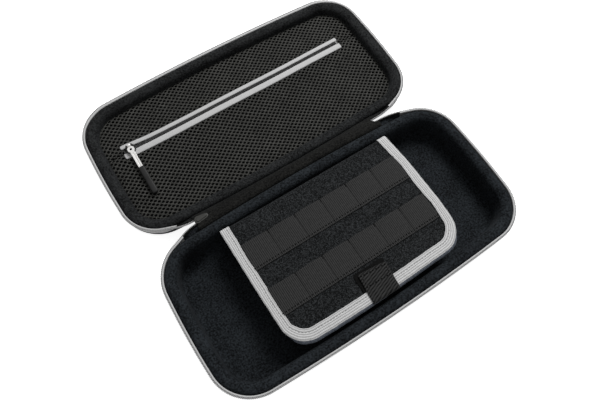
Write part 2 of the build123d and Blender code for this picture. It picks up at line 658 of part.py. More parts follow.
PIECES = {
    "base_shell": base_shell,
    "base_zip_tape": base_zip_tape,
    "base_zip_chain": base_zip_chain,
    "spine": spine,
    "zip_slider": zip_slider,
    "zip_pull_link": zip_pull_link,
    "zip_pull_sleeve": zip_pull_sleeve,
    "flap_hinge_tape": flap_hinge_tape,
    "wall_loop_patch": wall_loop_patch,
    "lid_shell": lid_shell,
    "lid_zip_tape": lid_zip_tape,
    "lid_zip_chain": lid_zip_chain,
    "lid_zip_tail_left": lid_zip_tail_left,
    "lid_zip_tail_right": lid_zip_tail_right,
    "pocket_mesh_hinge_side": pocket_mesh_hinge_side,
    "pocket_mesh_far_side": pocket_mesh_far_side,
    "pocket_zip_strip_wide": pocket_zip_strip_wide,
    "pocket_zip_strip_narrow": pocket_zip_strip_narrow,
    "pocket_zip_coil": pocket_zip_coil,
    "pocket_zip_stops": pocket_zip_stops,
    "pocket_slider": pocket_slider,
    "pocket_pull_link": pocket_pull_link,
    "pocket_pull_sleeve": pocket_pull_sleeve,
    "flap_panel": flap_panel,
    "flap_binding": flap_binding,
    "card_pockets_rear": card_pockets_rear,
    "card_pockets_front": card_pockets_front,
    "flap_patch": flap_patch,
    "strap": strap,
    "strap_hook_patch": strap_hook_patch,
}

os.makedirs("parts", exist_ok=True)
for name, piece in PIECES.items():
    piece.part.label = name
    export_step(piece.part, f"parts/{name}.step")

# The joint lines, in millimetres
print("lid hinge", HINGE_Y, HINGE_Z)
print("flap pivot", FLAP_PIVOT_Y, FLAP_PIVOT_Z)
print("zip pull pivot", zip_pull_origin)
print("pocket pull pivot", pocket_pivot_origin, "slope", degrees(pull_slope))
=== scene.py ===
import json
from math import asin, atan2, cos, pi, radians, sin, sqrt, tan

import bmesh
import bpy
import numpy as np
from mathutils import Matrix, Vector


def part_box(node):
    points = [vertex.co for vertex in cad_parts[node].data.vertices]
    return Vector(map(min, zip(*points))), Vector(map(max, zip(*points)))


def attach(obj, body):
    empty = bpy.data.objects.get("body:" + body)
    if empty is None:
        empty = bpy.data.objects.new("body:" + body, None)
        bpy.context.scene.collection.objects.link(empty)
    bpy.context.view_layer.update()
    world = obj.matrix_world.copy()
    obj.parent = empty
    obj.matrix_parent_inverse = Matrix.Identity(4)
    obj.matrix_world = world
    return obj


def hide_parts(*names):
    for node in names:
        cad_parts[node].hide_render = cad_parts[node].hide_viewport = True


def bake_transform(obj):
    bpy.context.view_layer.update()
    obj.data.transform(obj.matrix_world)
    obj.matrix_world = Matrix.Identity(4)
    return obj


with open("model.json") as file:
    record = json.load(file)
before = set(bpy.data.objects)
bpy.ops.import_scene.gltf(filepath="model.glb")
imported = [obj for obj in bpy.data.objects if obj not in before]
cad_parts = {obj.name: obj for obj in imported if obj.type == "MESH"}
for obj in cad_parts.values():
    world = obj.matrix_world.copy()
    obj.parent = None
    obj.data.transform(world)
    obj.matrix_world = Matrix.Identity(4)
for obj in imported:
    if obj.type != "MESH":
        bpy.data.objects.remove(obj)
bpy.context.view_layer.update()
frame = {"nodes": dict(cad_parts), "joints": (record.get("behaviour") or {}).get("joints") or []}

# Sizes in metres, some of them read off the frame

MM = 0.001
BASE_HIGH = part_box("base_shell")[1]
LID_LOW, LID_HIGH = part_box("lid_shell")
CHAIN_LOW, CHAIN_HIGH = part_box("base_zip_chain")


def joint_place(name):
    """Pivot of one of the frame's joints."""
    return Vector(next(joint["pos_m"] for joint in frame["joints"] if joint["name"] == name))


HINGE = joint_place("lid_hinge")
ZIP_PIVOT = joint_place("zip_pull_swing")
POCKET_PIVOT = joint_place("pocket_pull_swing")

# Plan outline at the outer edge of the zip
LID_Y = (LID_LOW.y + LID_HIGH.y) / 2
RIM_HALF_LENGTH = CHAIN_HIGH.x
RIM_HALF_WIDTH = -CHAIN_LOW.y
LONG_SIDE_RADIUS = 2200 * MM
SHORT_SIDE_RADIUS = 700 * MM
CORNER_RADIUS = 37 * MM

# Section of the moulded shells
BODY_INSET = RIM_HALF_LENGTH - BASE_HIGH.x
LIP_INSET = 2.4 * MM
LIP_DEPTH = 9 * MM
CAVITY_INSET = 12.5 * MM
BASE_FLOOR = 4.5 * MM
LID_FLOOR = 4 * MM
OUTER_DRAFT = radians(8)
CAVITY_DRAFT = radians(2)
BOTTOM_RADIUS = 9 * MM
CAVITY_RADIUS = 3.5 * MM
ROLL_INNER_RADIUS = 5.5 * MM
ROLL_OUTER_RADIUS = 4 * MM
STEP_ROUNDING = 0.9 * MM
CAP_INSET = 33 * MM
ROLL_DROP = 0.3 * MM


# Nodes, for the finishes and for what repeats

def add_node(tree, kind, inputs=None, **settings):
    """A node with its settings, whose inputs are values or the outputs of other nodes."""
    made = tree.nodes.new(kind)
    for name, value in settings.items():
        setattr(made, name, value)
    for key, value in (inputs or {}).items():
        if isinstance(value, bpy.types.NodeSocket):
            tree.links.new(value, made.inputs[key])
        else:
            made.inputs[key].default_value = value
    return made


def math_of(tree, operation, first, second=0.0):
    """One step of arithmetic on values or outputs."""
    return add_node(tree, "ShaderNodeMath", {0: first, 1: second}, operation=operation).outputs[0]


def new_group(name, kind, inputs, outputs):
    """An empty node group with named sockets, and the outputs and inputs of its two ends."""
    group = bpy.data.node_groups.new(name, kind)
    for label, (socket, value) in inputs.items():
        made = group.interface.new_socket(label, in_out="INPUT", socket_type=socket)
        if value is not None:
            made.default_value = value
    for label, socket in outputs.items():
        group.interface.new_socket(label, in_out="OUTPUT", socket_type=socket)
    start = group.nodes.new("NodeGroupInput")
    end = group.nodes.new("NodeGroupOutput")
    return group, start.outputs, end.inputs


# Meshes

def new_piece(name, data):
    """An object at the origin, in the scene."""
    piece = bpy.data.objects.new(name, data)
    bpy.context.scene.collection.objects.link(piece)
    return piece


def skin(name, points, around=False, across=False, caps=False):
    """A smooth quad mesh through a table of points, with a UV map in metres along rows and columns."""
    points = np.asarray(points, float)
    rows, columns = points.shape[:2]
    mesh = bpy.data.meshes.new(name)
    faces, places = [], []
    for i in range(rows - (0 if across else 1)):
        for j in range(columns - (0 if around else 1)):
            corners = ((i, j), (i, j + 1), (i + 1, j + 1), (i + 1, j))
            faces.append([(r % rows) * columns + c % columns for r, c in corners])
            places.extend(corners)
    if caps:
        faces.append(list(range(columns))[::-1])
        faces.append([(rows - 1) * columns + c for c in range(columns)])
        places.extend((0, c) for c in reversed(range(columns)))
        places.extend((rows - 1, c) for c in range(columns))
    mesh.from_pydata(points.reshape(-1, 3).tolist(), [], faces)
    down = np.vstack([points, points[:1]])[:, columns // 2]
    along = np.concatenate([points, points[:, :1]], axis=1)[rows // 2]
    v = np.concatenate([[0], np.cumsum(np.linalg.norm(np.diff(down, axis=0), axis=1))])
    u = np.concatenate([[0], np.cumsum(np.linalg.norm(np.diff(along, axis=0), axis=1))])
    uv = mesh.uv_layers.new(name="UVMap")
    uv.data.foreach_set("uv", np.array([(u[c], v[r]) for r, c in places]).ravel())
    mesh.polygons.foreach_set("use_smooth", [True] * len(mesh.polygons))
    work = bmesh.new()
    work.from_mesh(mesh)
    bmesh.ops.recalc_face_normals(work, faces=work.faces)
    work.to_mesh(mesh)
    work.free()
    return new_piece(name, mesh)


# Plan outline of the case: four side arcs and four corner arcs, told by the angle of their normal

def corner_centre():
    """Centre of the corner arc that touches both side arcs from inside."""
    long_centre = Vector((0, RIM_HALF_WIDTH - LONG_SIDE_RADIUS))
    short_centre = Vector((RIM_HALF_LENGTH - SHORT_SIDE_RADIUS, 0))
    to_long = LONG_SIDE_RADIUS - CORNER_RADIUS
    to_short = SHORT_SIDE_RADIUS - CORNER_RADIUS
    between = short_centre - long_centre
    share = (to_long**2 - to_short**2 + between.length_squared) / (2 * between.length)
    beside = Vector((between.y, -between.x)).normalized()
    return long_centre + between.normalized() * share + beside * sqrt(to_long**2 - share**2)


CORNER = corner_centre()
SHORT_END = atan2(CORNER.y, CORNER.x - (RIM_HALF_LENGTH - SHORT_SIDE_RADIUS))
LONG_END = atan2(CORNER.y - (RIM_HALF_WIDTH - LONG_SIDE_RADIUS), CORNER.x)
QUARTER_TURNS = [SHORT_END, LONG_END - SHORT_END, pi / 2 - LONG_END]
QUARTER_RADII = [SHORT_SIDE_RADIUS, CORNER_RADIUS, LONG_SIDE_RADIUS]
ROUND_TURNS = np.array((QUARTER_TURNS + QUARTER_TURNS[::-1]) * 2)
ROUND_RADII = np.array((QUARTER_RADII + QUARTER_RADII[::-1]) * 2)
TURN_KNOTS = np.concatenate([[0], np.cumsum(ROUND_TURNS)])
ROUND_KNOTS = np.concatenate([[0], np.cumsum(ROUND_TURNS * ROUND_RADII)])
ROUND = ROUND_KNOTS[-1]


def rim_angle(distance):
    """Angle of the outline's normal at a distance round it from the middle of the +X side."""
    laps = np.floor(distance / ROUND)
    return laps * 2 * pi + np.interp(distance - laps * ROUND, ROUND_KNOTS, TURN_KNOTS)


def rim_distance(angle):
    """Distance round the outline of the point with this normal."""
    laps = np.floor(angle / (2 * pi))
    return laps * ROUND + np.interp(angle - laps * 2 * pi, TURN_KNOTS, ROUND_KNOTS)


def rim_xy(angle, inset):
    """Points of the outline, moved in from the zip's outer edge, about the half's own centre."""
    c, s = np.cos(angle), np.sin(angle)
    folded = np.arctan2(np.abs(s), np.abs(c))
    on_short = folded < SHORT_END
    on_long = folded > LONG_END
    x = np.where(on_short, RIM_HALF_LENGTH - SHORT_SIDE_RADIUS, np.where(on_long, 0, CORNER.x))
    y = np.where(on_short, 0, np.where(on_long, RIM_HALF_WIDTH - LONG_SIDE_RADIUS, CORNER.y))
    radius = np.where(on_short, SHORT_SIDE_RADIUS, np.where(on_long, LONG_SIDE_RADIUS, CORNER_RADIUS))
    x = np.copysign(x + (radius - inset) * np.cos(folded), c)
    y = np.copysign(y + (radius - inset) * np.sin(folded), s)
    return np.stack([x, y], axis=-1)


# Moulded shells

SHELL_STATIONS = 420
ARC_STEPS = 7


def arc(centre, radius, start, end, steps=ARC_STEPS):
    """Points of an arc in a section's plane."""
    turns = np.linspace(start, end, steps)
    return [(centre[0] + radius * cos(t), centre[1] + radius * sin(t)) for t in turns]


def shell_section(rim, floor):
    """Section of a half from under its middle, out round the rim and in to the well's middle."""
    step = rim + ROLL_DROP - LIP_DEPTH
    slope = tan(OUTER_DRAFT)
    wall = BODY_INSET + (step - BOTTOM_RADIUS) * slope + BOTTOM_RADIUS / cos(OUTER_DRAFT)
    section = [(CAP_INSET, 0)]
    section += arc((wall, BOTTOM_RADIUS), BOTTOM_RADIUS, 1.5 * pi, pi + OUTER_DRAFT)
    section += arc((BODY_INSET + STEP_ROUNDING, step - STEP_ROUNDING), STEP_ROUNDING, pi, pi / 2, 4)
    section += [(LIP_INSET - STEP_ROUNDING / 4, step), (LIP_INSET, step + STEP_ROUNDING / 4)]
    section += arc((LIP_INSET + ROLL_OUTER_RADIUS, rim - ROLL_OUTER_RADIUS), ROLL_OUTER_RADIUS, pi, pi / 2)
    slope = tan(CAVITY_DRAFT)
    roll = CAVITY_INSET + ROLL_INNER_RADIUS * (slope - 1 / cos(CAVITY_DRAFT))
    section += arc((roll, rim - ROLL_INNER_RADIUS), ROLL_INNER_RADIUS, pi / 2, CAVITY_DRAFT)
    foot = CAVITY_INSET + (rim - floor - CAVITY_RADIUS) * slope + CAVITY_RADIUS / cos(CAVITY_DRAFT)
    section += arc((foot, floor + CAVITY_RADIUS), CAVITY_RADIUS, pi + CAVITY_DRAFT, 1.5 * pi)
    section += [(CAP_INSET, floor)]
    return section


def build_shell(name, centre_y, rim, floor):
    """One moulded half, closed at the middle of its underside and of its well."""
    angles = rim_angle(np.linspace(0, ROUND, SHELL_STATIONS, endpoint=False))
    rows = []
    for inset, z in shell_section(rim, floor):
        xy = rim_xy(angles, inset)
        rows.append(np.column_stack([xy[:, 0], xy[:, 1] + centre_y, np.full(len(xy), z)]))
    return skin(name, rows, around=True, caps=True)


# Finishes: shared effects as node groups, plain values straight on the surface

PATTERN_INPUTS = {
    "Vector": ("NodeSocketVector", None),
    "Deep": ("NodeSocketColor", (0, 0, 0, 1)),
    "Bright": ("NodeSocketColor", (1, 1, 1, 1)),
}
PATTERN_OUTPUTS = {"Color": "NodeSocketColor", "Height": "NodeSocketFloat"}
BROAD_TO_FINE = 0.06
RIB_SHARE = 0.38
ROW_SHARE = 0.12
FUZZ_GRAIN = 0.8


def noise_of(group, given, scale, detail, roughness):
    """Noise at a scale over the pattern's coordinates."""
    settings = {"Vector": given["Vector"], "Scale": scale, "Detail": detail, "Roughness": roughness}
    return add_node(group, "ShaderNodeTexNoise", settings).outputs[0]


def swing_of(group, noise, size):
    """Noise about zero, times a size."""
    return math_of(group, "MULTIPLY", math_of(group, "SUBTRACT", noise, 0.5), size)


def shade(group, given, result, share):
    """Colour between the deep and the bright shade by a share, which is clamped and given back."""
    share = add_node(group, "ShaderNodeClamp", {0: share}).outputs[0]
    mix = {0: share, 6: given["Deep"], 7: given["Bright"]}
    colour = add_node(group, "ShaderNodeMix", mix, data_type="RGBA").outputs[2]
    group.links.new(colour, result["Color"])
    return share


def build_pile_group():
    """Mottled short pile: two sizes of noise between a deep and a bright shade."""
    inputs = {
        **PATTERN_INPUTS,
        "Grain": ("NodeSocketFloat", 900.0),
        "Contrast": ("NodeSocketFloat", 3.0),
        "Mottle": ("NodeSocketFloat", 0.8),
        "Level": ("NodeSocketFloat", 0.5),
    }
    group, given, result = new_group("pile", "ShaderNodeTree", inputs, PATTERN_OUTPUTS)
    fine = noise_of(group, given, given["Grain"], 2.0, 0.6)
    broad = noise_of(group, given, math_of(group, "MULTIPLY", given["Grain"], BROAD_TO_FINE), 2.0, 0.6)
    fine_part = swing_of(group, fine, given["Contrast"])
    broad_part = swing_of(group, broad, given["Mottle"])
    share = math_of(group, "ADD", math_of(group, "ADD", fine_part, broad_part), given["Level"])
    shade(group, given, result, share)
    group.links.new(fine, result["Height"])
    return group


def build_weave_group():
    """Ribs of a weave, straight or slanting, broken up by the crossing threads and by fuzz."""
    inputs = {
        **PATTERN_INPUTS,
        "Pitch": ("NodeSocketFloat", 1.0 * MM),
        "Row Pitch": ("NodeSocketFloat", 1.0 * MM),
        "Slant": ("NodeSocketFloat", 0.0),
        "Fuzz": ("NodeSocketFloat", 0.5),
    }
    group, given, result = new_group("weave", "ShaderNodeTree", inputs, PATTERN_OUTPUTS)
    split = add_node(group, "ShaderNodeSeparateXYZ", {0: given["Vector"]}).outputs
    across = math_of(group, "DIVIDE", split[0], given["Pitch"])
    along = math_of(group, "DIVIDE", split[1], given["Row Pitch"])
    slanted = math_of(group, "ADD", across, math_of(group, "MULTIPLY", along, given["Slant"]))
    rib = math_of(group, "SINE", math_of(group, "MULTIPLY", slanted, 2 * pi))
    row = math_of(group, "SINE", math_of(group, "MULTIPLY", along, 2 * pi))
    ribs = math_of(group, "MULTIPLY", math_of(group, "ADD", rib, 1.0), RIB_SHARE)
    rows = math_of(group, "MULTIPLY", math_of(group, "ADD", row, 1.0), ROW_SHARE)
    threads = math_of(group, "ADD", ribs, rows)
    fuzz = noise_of(group, given, math_of(group, "DIVIDE", FUZZ_GRAIN, given["Pitch"]), 3.0, 0.65)
    share = math_of(group, "ADD", threads, swing_of(group, fuzz, given["Fuzz"]))
    group.links.new(shade(group, given, result, share), result["Height"])
    return group


PILE = build_pile_group()
WEAVE = build_weave_group()


def new_finish(name, constants):
    """A material with plain values on its surface."""
    finish = bpy.data.materials.new(name)
    finish.use_nodes = True
    surface = finish.node_tree.nodes["Principled BSDF"]
    for key, value in constants.items():
        surface.inputs[key].default_value = value
    return finish


def grey(value, tint=(1, 1, 1)):
    """A colour as a level and a slight tint."""
    return (value * tint[0], value * tint[1], value * tint[2], 1)


def patterned(name, group, coordinates, pattern, relief, constants):
    """A cloth finish whose colour and relief come from one of the pattern groups."""
    finish = new_finish(name, constants)
    tree = finish.node_tree
    surface = tree.nodes["Principled BSDF"]
    place = add_node(tree, "ShaderNodeTexCoord").outputs[coordinates]
    cloth = add_node(tree, "ShaderNodeGroup", node_tree=group)
    tree.links.new(place, cloth.inputs["Vector"])
    for key, value in pattern.items():
        cloth.inputs[key].default_value = value
    tree.links.new(cloth.outputs["Color"], surface.inputs["Base Color"])
    settings = {"Height": cloth.outputs["Height"], "Distance": relief, "Strength": 1.0}
    normal = add_node(tree, "ShaderNodeBump", settings).outputs[0]
    tree.links.new(normal, surface.inputs["Normal"])
    return finish


def dark_cloth(sheen):
    """Surface values of a dark fabric with a soft bloom at its edges."""
    return {
        "Roughness": 0.9,
        "Specular IOR Level": 0.1,
        "Sheen Weight": sheen,
        "Sheen Roughness": 0.4,
        "Sheen Tint": (0.85, 0.92, 1.0, 1),
    }


def pale_cloth():
    """Surface values of a light fabric."""
    return {"Roughness": 0.85, "Specular IOR Level": 0.25, "Sheen Weight": 0.08, "Sheen Roughness": 0.5}


def pile_cloth(name, tint, deep, bright, grain, contrast, mottle, relief, sheen, level=0.5):
    """A dark cloth with a mottled pile."""
    pattern = {
        "Deep": grey(deep, tint),
        "Bright": grey(bright, tint),
        "Grain": grain,
        "Contrast": contrast,
        "Mottle": mottle,
        "Level": level,
    }
    return patterned(name, PILE, "Object", pattern, relief, dark_cloth(sheen))


def woven_cloth(name, constants, deep, bright, pitch, row_pitch, slant, fuzz, relief):
    """A ribbed cloth whose weave follows the piece."""
    pattern = {
        "Deep": grey(deep),
        "Bright": grey(bright),
        "Pitch": pitch,
        "Row Pitch": row_pitch,
        "Slant": slant,
        "Fuzz": fuzz,
    }
    return patterned(name, WEAVE, "UV", pattern, relief, constants)


BASE_TINT = (0.84, 1.0, 1.16)
LID_TINT = (0.95, 1.0, 1.03)
FELT_TINT = (0.93, 1.0, 1.06)
OLIVE = (1.02, 1.02, 0.95)
SHADE_SLATE = (0.9, 1.0, 1.2)
WARM = (1.01, 1.0, 0.98)
NEUTRAL = (1, 1, 1)

KNIT = {
    "deep": 0.003, "bright": 0.03, "grain": 700.0, "contrast": 3.2, "mottle": 1.0,
    "relief": 0.3 * MM, "sheen": 0.04,
}
BASE_KNIT = pile_cloth("base_knit", BASE_TINT, **KNIT)
LID_KNIT = pile_cloth("lid_knit", LID_TINT, **KNIT)
FELT = pile_cloth(
    "brushed_felt", FELT_TINT, deep=0.004, bright=0.041, grain=1150.0, contrast=4.4, mottle=0.5,
    relief=0.3 * MM, sheen=0.03, level=0.28,
)
# Pile of the spine and of the pocket's coil tape; also the painted shade on the zip's ends near the hinge.
SPINE_CLOTH_AND_SHADE = pile_cloth(
    "spine_pile_and_painted_shade", OLIVE, deep=0.001, bright=0.016, grain=700.0, contrast=2.8, mottle=1.2,
    relief=0.3 * MM, sheen=0.03,
)
NET_YARN = pile_cloth(
    "net_yarn", OLIVE, deep=0.02, bright=0.078, grain=900.0, contrast=2.4, mottle=0.6,
    relief=0.1 * MM, sheen=0.03,
)
# Painted shade: a darker slate copy of the light binding tape, for the shade on the tape's outer side and
# underside.
BINDING_SHADE_CLOTH = pile_cloth(
    "binding_painted_shade", SHADE_SLATE, deep=0.08, bright=0.2, grain=900.0, contrast=2.0, mottle=0.5,
    relief=0.1 * MM, sheen=0.08,
)
# Pile of the hook-and-loop patches; also the painted shade on the lid's floor under the net.
PATCH_PILE_AND_SHADE = pile_cloth(
    "patch_pile_and_painted_shade", NEUTRAL, deep=0.001, bright=0.008, grain=1300.0, contrast=2.5, mottle=0.8,
    relief=0.5 * MM, sheen=0.02,
)
ZIP_TAPE = woven_cloth(
    "zip_tape_weave", pale_cloth(), deep=0.22, bright=0.42, pitch=1.2 * MM, row_pitch=1.0 * MM,
    slant=1.0, fuzz=0.5, relief=0.12 * MM,
)
ZIP_CORD = woven_cloth(
    "zip_cord_weave", pale_cloth(), deep=0.44, bright=0.68, pitch=1.0 * MM, row_pitch=1.4 * MM,
    slant=0.4, fuzz=0.5, relief=0.12 * MM,
)
STRIP_CLOTH = woven_cloth(
    "strip_weave", pale_cloth(), deep=0.40, bright=0.64, pitch=1.0 * MM, row_pitch=1.0 * MM,
    slant=0.0, fuzz=0.7, relief=0.1 * MM,
)
BINDING_TAPE = woven_cloth(
    "binding_ribs", pale_cloth(), deep=0.34, bright=0.74, pitch=1.9 * MM, row_pitch=1.5 * MM,
    slant=0.0, fuzz=0.7, relief=0.2 * MM,
)
POCKET_WEBBING = woven_cloth(
    "pocket_webbing", dark_cloth(0.03), deep=0.013, bright=0.053, pitch=1.6 * MM, row_pitch=1.1 * MM,
    slant=0.0, fuzz=0.9, relief=0.18 * MM,
)
STRAP_WEBBING = woven_cloth(
    "strap_webbing", dark_cloth(0.03), deep=0.004, bright=0.046, pitch=5.8 * MM, row_pitch=2.2 * MM,
    slant=1.0, fuzz=0.6, relief=0.3 * MM,
)
DARK_THREAD = new_finish("dark_thread", {"Base Color": grey(0.003), **dark_cloth(0.01)})
GREY_THREAD = new_finish("grey_thread", {"Base Color": grey(0.22), **pale_cloth()})
ZIP_TEETH = new_finish(
    "zip_teeth", {"Base Color": grey(0.41), "Roughness": 0.45, "Specular IOR Level": 0.4},
)
COIL_PLASTIC = new_finish(
    "coil_plastic", {"Base Color": grey(0.045), "Roughness": 0.4, "Specular IOR Level": 0.4},
)
PULL_RUBBER = new_finish(
    "pull_rubber", {"Base Color": grey(0.012), "Roughness": 0.55, "Specular IOR Level": 0.3},
)
GUNMETAL = new_finish(
    "gunmetal", {"Base Color": grey(0.045, OLIVE), "Metallic": 0.6, "Roughness": 0.42},
)
BRIGHT_METAL = new_finish(
    "bright_metal", {"Base Color": grey(0.86, WARM), "Metallic": 0.4, "Roughness": 0.42},
)


def wear(piece, finish):
    """Give a piece its one material."""
    piece.data.materials.clear()
    piece.data.materials.append(finish)


# What repeats: a small piece set at even steps along lines, and the cells of the net

MERGE_DISTANCE = 0.05 * MM


def copies_of(tree, piece, places):
    """Copies of a piece at points, as real geometry."""
    shape = add_node(tree, "GeometryNodeObjectInfo", {"Object": piece}).outputs["Geometry"]
    copies = add_node(tree, "GeometryNodeInstanceOnPoints", {**places, "Instance": shape}).outputs[0]
    return add_node(tree, "GeometryNodeRealizeInstances", {0: copies}).outputs[0]


def end_tree(tree, given, result, geometry):
    """Give the geometry its finish and end the tree with it."""
    settings = {"Geometry": geometry, "Material": given["Finish"]}
    done = add_node(tree, "GeometryNodeSetMaterial", settings).outputs[0]
    tree.links.new(done, result["Geometry"])
    return tree


def build_row_tree():
    """A piece at every step along lines, its X along the line and its Z along the line's up."""
    inputs = {
        "Lines": ("NodeSocketGeometry", None),
        "Piece": ("NodeSocketObject", None),
        "Pitch": ("NodeSocketFloat", 2.0 * MM),
        "Finish": ("NodeSocketMaterial", None),
    }
    outputs = {"Geometry": "NodeSocketGeometry"}
    tree, given, result = new_group("row_along_lines", "GeometryNodeTree", inputs, outputs)
    curve = add_node(tree, "GeometryNodeMeshToCurve", {0: given["Lines"]}).outputs[0]
    spacing = {"Curve": curve, "Length": given["Pitch"]}
    steps = add_node(tree, "GeometryNodeResampleCurve", spacing, mode="LENGTH").outputs[0]
    along = add_node(tree, "GeometryNodeInputTangent").outputs[0]
    kind = "GeometryNodeInputNamedAttribute"
    up = add_node(tree, kind, {"Name": "up"}, data_type="FLOAT_VECTOR").outputs[0]
    axes = {"Primary Axis": along, "Secondary Axis": up}
    kind = "FunctionNodeAxesToRotation"
    turn = add_node(tree, kind, axes, primary_axis="X", secondary_axis="Z").outputs[0]
    real = copies_of(tree, given["Piece"], {"Points": steps, "Rotation": turn})
    return end_tree(tree, given, result, real)


def vector_sum(tree, first, second):
    """Sum of two vectors or outputs."""
    return add_node(tree, "ShaderNodeVectorMath", {0: first, 1: second}, operation="ADD").outputs[0]


def build_net_tree():
    """A cell at every point of a staggered grid that lies over or under a panel."""
    inputs = {
        "Panel": ("NodeSocketGeometry", None),
        "Cell": ("NodeSocketObject", None),
        "Pitch": ("NodeSocketFloat", 5.7 * MM),
        "Row Pitch": ("NodeSocketFloat", 2.1 * MM),
        "Columns": ("NodeSocketInt", 10),
        "Rows": ("NodeSocketInt", 10),
        "Middle": ("NodeSocketVector", (0, 0, 0)),
        "Finish": ("NodeSocketMaterial", None),
    }
    outputs = {"Geometry": "NodeSocketGeometry"}
    tree, given, result = new_group("net_over_panel", "GeometryNodeTree", inputs, outputs)
    columns, rows = given["Columns"], given["Rows"]
    wide = math_of(tree, "MULTIPLY", math_of(tree, "SUBTRACT", columns, 1.0), given["Pitch"])
    deep = math_of(tree, "MULTIPLY", math_of(tree, "SUBTRACT", rows, 1.0), given["Row Pitch"])
    counts = {"Size X": wide, "Size Y": deep, "Vertices X": columns, "Vertices Y": rows}
    grid = add_node(tree, "GeometryNodeMeshGrid", counts).outputs[0]
    place = add_node(tree, "GeometryNodeInputPosition").outputs[0]
    height = add_node(tree, "ShaderNodeSeparateXYZ", {0: place}).outputs[1]
    start = math_of(tree, "ADD", height, math_of(tree, "MULTIPLY", deep, 0.5))
    row = math_of(tree, "ROUND", math_of(tree, "DIVIDE", start, given["Row Pitch"]))
    odd = math_of(tree, "SUBTRACT", math_of(tree, "MODULO", row, 2.0), 0.5)
    shift = math_of(tree, "MULTIPLY", odd, math_of(tree, "MULTIPLY", given["Pitch"], 0.5))
    stagger = add_node(tree, "ShaderNodeCombineXYZ", {0: shift}).outputs[0]
    moved = {"Geometry": grid, "Offset": vector_sum(tree, stagger, given["Middle"])}
    points = add_node(tree, "GeometryNodeSetPosition", moved).outputs[0]
    ray = {
        "Target Geometry": given["Panel"],
        "Source Position": vector_sum(tree, place, (0, 0, 1)),
        "Ray Direction": (0, 0, -1),
        "Ray Length": 2.0,
    }
    over = add_node(tree, "GeometryNodeRaycast", ray).outputs["Is Hit"]
    real = copies_of(tree, given["Cell"], {"Points": points, "Selection": over})
    merge = {"Geometry": real, "Distance": MERGE_DISTANCE}
    joined = add_node(tree, "GeometryNodeMergeByDistance", merge).outputs[0]
    return end_tree(tree, given, result, joined)


ROW_TREE = build_row_tree()
NET_TREE = build_net_tree()


def settle(piece):
    """Turn a piece and its modifiers into one plain mesh."""
    bpy.context.view_layer.update()
    graph = bpy.context.evaluated_depsgraph_get()
    mesh = bpy.data.meshes.new_from_object(piece.evaluated_get(graph))
    piece.modifiers.clear()
    piece.data = mesh
    mesh.polygons.foreach_set("use_smooth", [True] * len(mesh.polygons))


def grow(piece, tree, values):
    """Run a node tree on a piece with these values and keep the result as its mesh."""
    modifier = piece.modifiers.new("grow", "NODES")
    modifier.node_group = tree
    for item in tree.interface.items_tree:
        if item.in_out == "INPUT" and item.name in values:
            modifier[item.identifier] = values[item.name]
    settle(piece)


def set_row(name, lines, pattern, pitch, finish, up=(0, 0, 1)):
    """Copies of a pattern at even steps along lines of points, as one piece."""
    points, edges = [], []
    for line in lines:
        first = len(points)
        points.extend(map(tuple, line))
        edges.extend((i, i + 1) for i in range(first, len(points) - 1))
    mesh = bpy.data.meshes.new(name)
    mesh.from_pydata(points, edges, [])
    ups = mesh.attributes.new("up", "FLOAT_VECTOR", "POINT")
    ups.data.foreach_set("vector", np.tile(np.array(up, float), len(points)))
    piece = new_piece(name, mesh)
    grow(piece, ROW_TREE, {"Piece": pattern, "Pitch": pitch, "Finish": finish})
    return piece


BEAD_END = 0.92


def bead(name, length, width, height, rings=5, sides=8):
    """A small rounded pattern piece: a capsule along X, flattened to a width and height."""
    turns = np.linspace(0, 2 * pi, sides, endpoint=False)
    rows = []
    for share in np.linspace(-BEAD_END, BEAD_END, rings):
        wide, tall = (sqrt(1 - share**4) * size / 2 for size in (width, height))
        rows.append([(share * length / 2, wide * cos(t), tall * sin(t)) for t in turns])
    return skin(name, rows, around=True, caps=True)


def headings(line):
    """Unit directions along a line of points."""
    steps = np.gradient(np.asarray(line), axis=0)
    return steps / np.linalg.norm(steps, axis=1, keepdims=True)


def outward(line):
    """Level unit normals to the right of a line of points."""
    ahead = headings(line)
    out = np.column_stack([ahead[:, 1], -ahead[:, 0], np.zeros(len(ahead))])
    return out / np.linalg.norm(out, axis=1, keepdims=True)


def smooth(value, start, end):
    """A soft step from 0 at start to 1 at end."""
    share = np.clip((np.asarray(value, float) - start) / (end - start), 0, 1)
    return share * share * (3 - 2 * share)


def bump(value, centre, width):
    """A soft bump of height 1 round a centre."""
    return np.exp(-(((value - centre) / width) ** 2))


def ripple(place, waves):
    """Sum of waves, each given as its height, its rate and its start."""
    return sum(height * np.sin(place * rate + start) for height, rate, start in waves)


def squared(value, power):
    """A circle's sine or cosine made that of a rounded square, the squarer the lower the power."""
    return np.copysign(np.abs(value) ** power, value)


# Shells

base_knit = build_shell("base_moulded_shell", 0, BASE_HIGH.z, BASE_FLOOR)
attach(base_knit, "base")
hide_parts("base_shell")
wear(base_knit, BASE_KNIT)
lid_knit = build_shell("lid_moulded_shell", LID_Y, LID_HIGH.z, LID_FLOOR)
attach(lid_knit, "lid")
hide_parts("lid_shell")
wear(lid_knit, LID_KNIT)


def paint_floor_shade(piece, finish):
    """A second, near-black finish on a half's floor as painted shade: the faces of its last rows and its
    last cap.
    """
    piece.data.materials.append(finish)
    count = len(piece.data.polygons)
    floor = np.arange(count) >= count - 2 - SHELL_STATIONS * ARC_STEPS
    floor[-2] = False
    piece.data.polygons.foreach_set("material_index", floor.astype(np.int32))


# Painted shade: the lid's floor under the net takes a near-black finish in place of its knit, standing in
# for the shade that the net and walls cast there.
paint_floor_shade(lid_knit, PATCH_PILE_AND_SHADE)

# Zip round the case: a ribbed row outside, a light cord inside it and the tape below

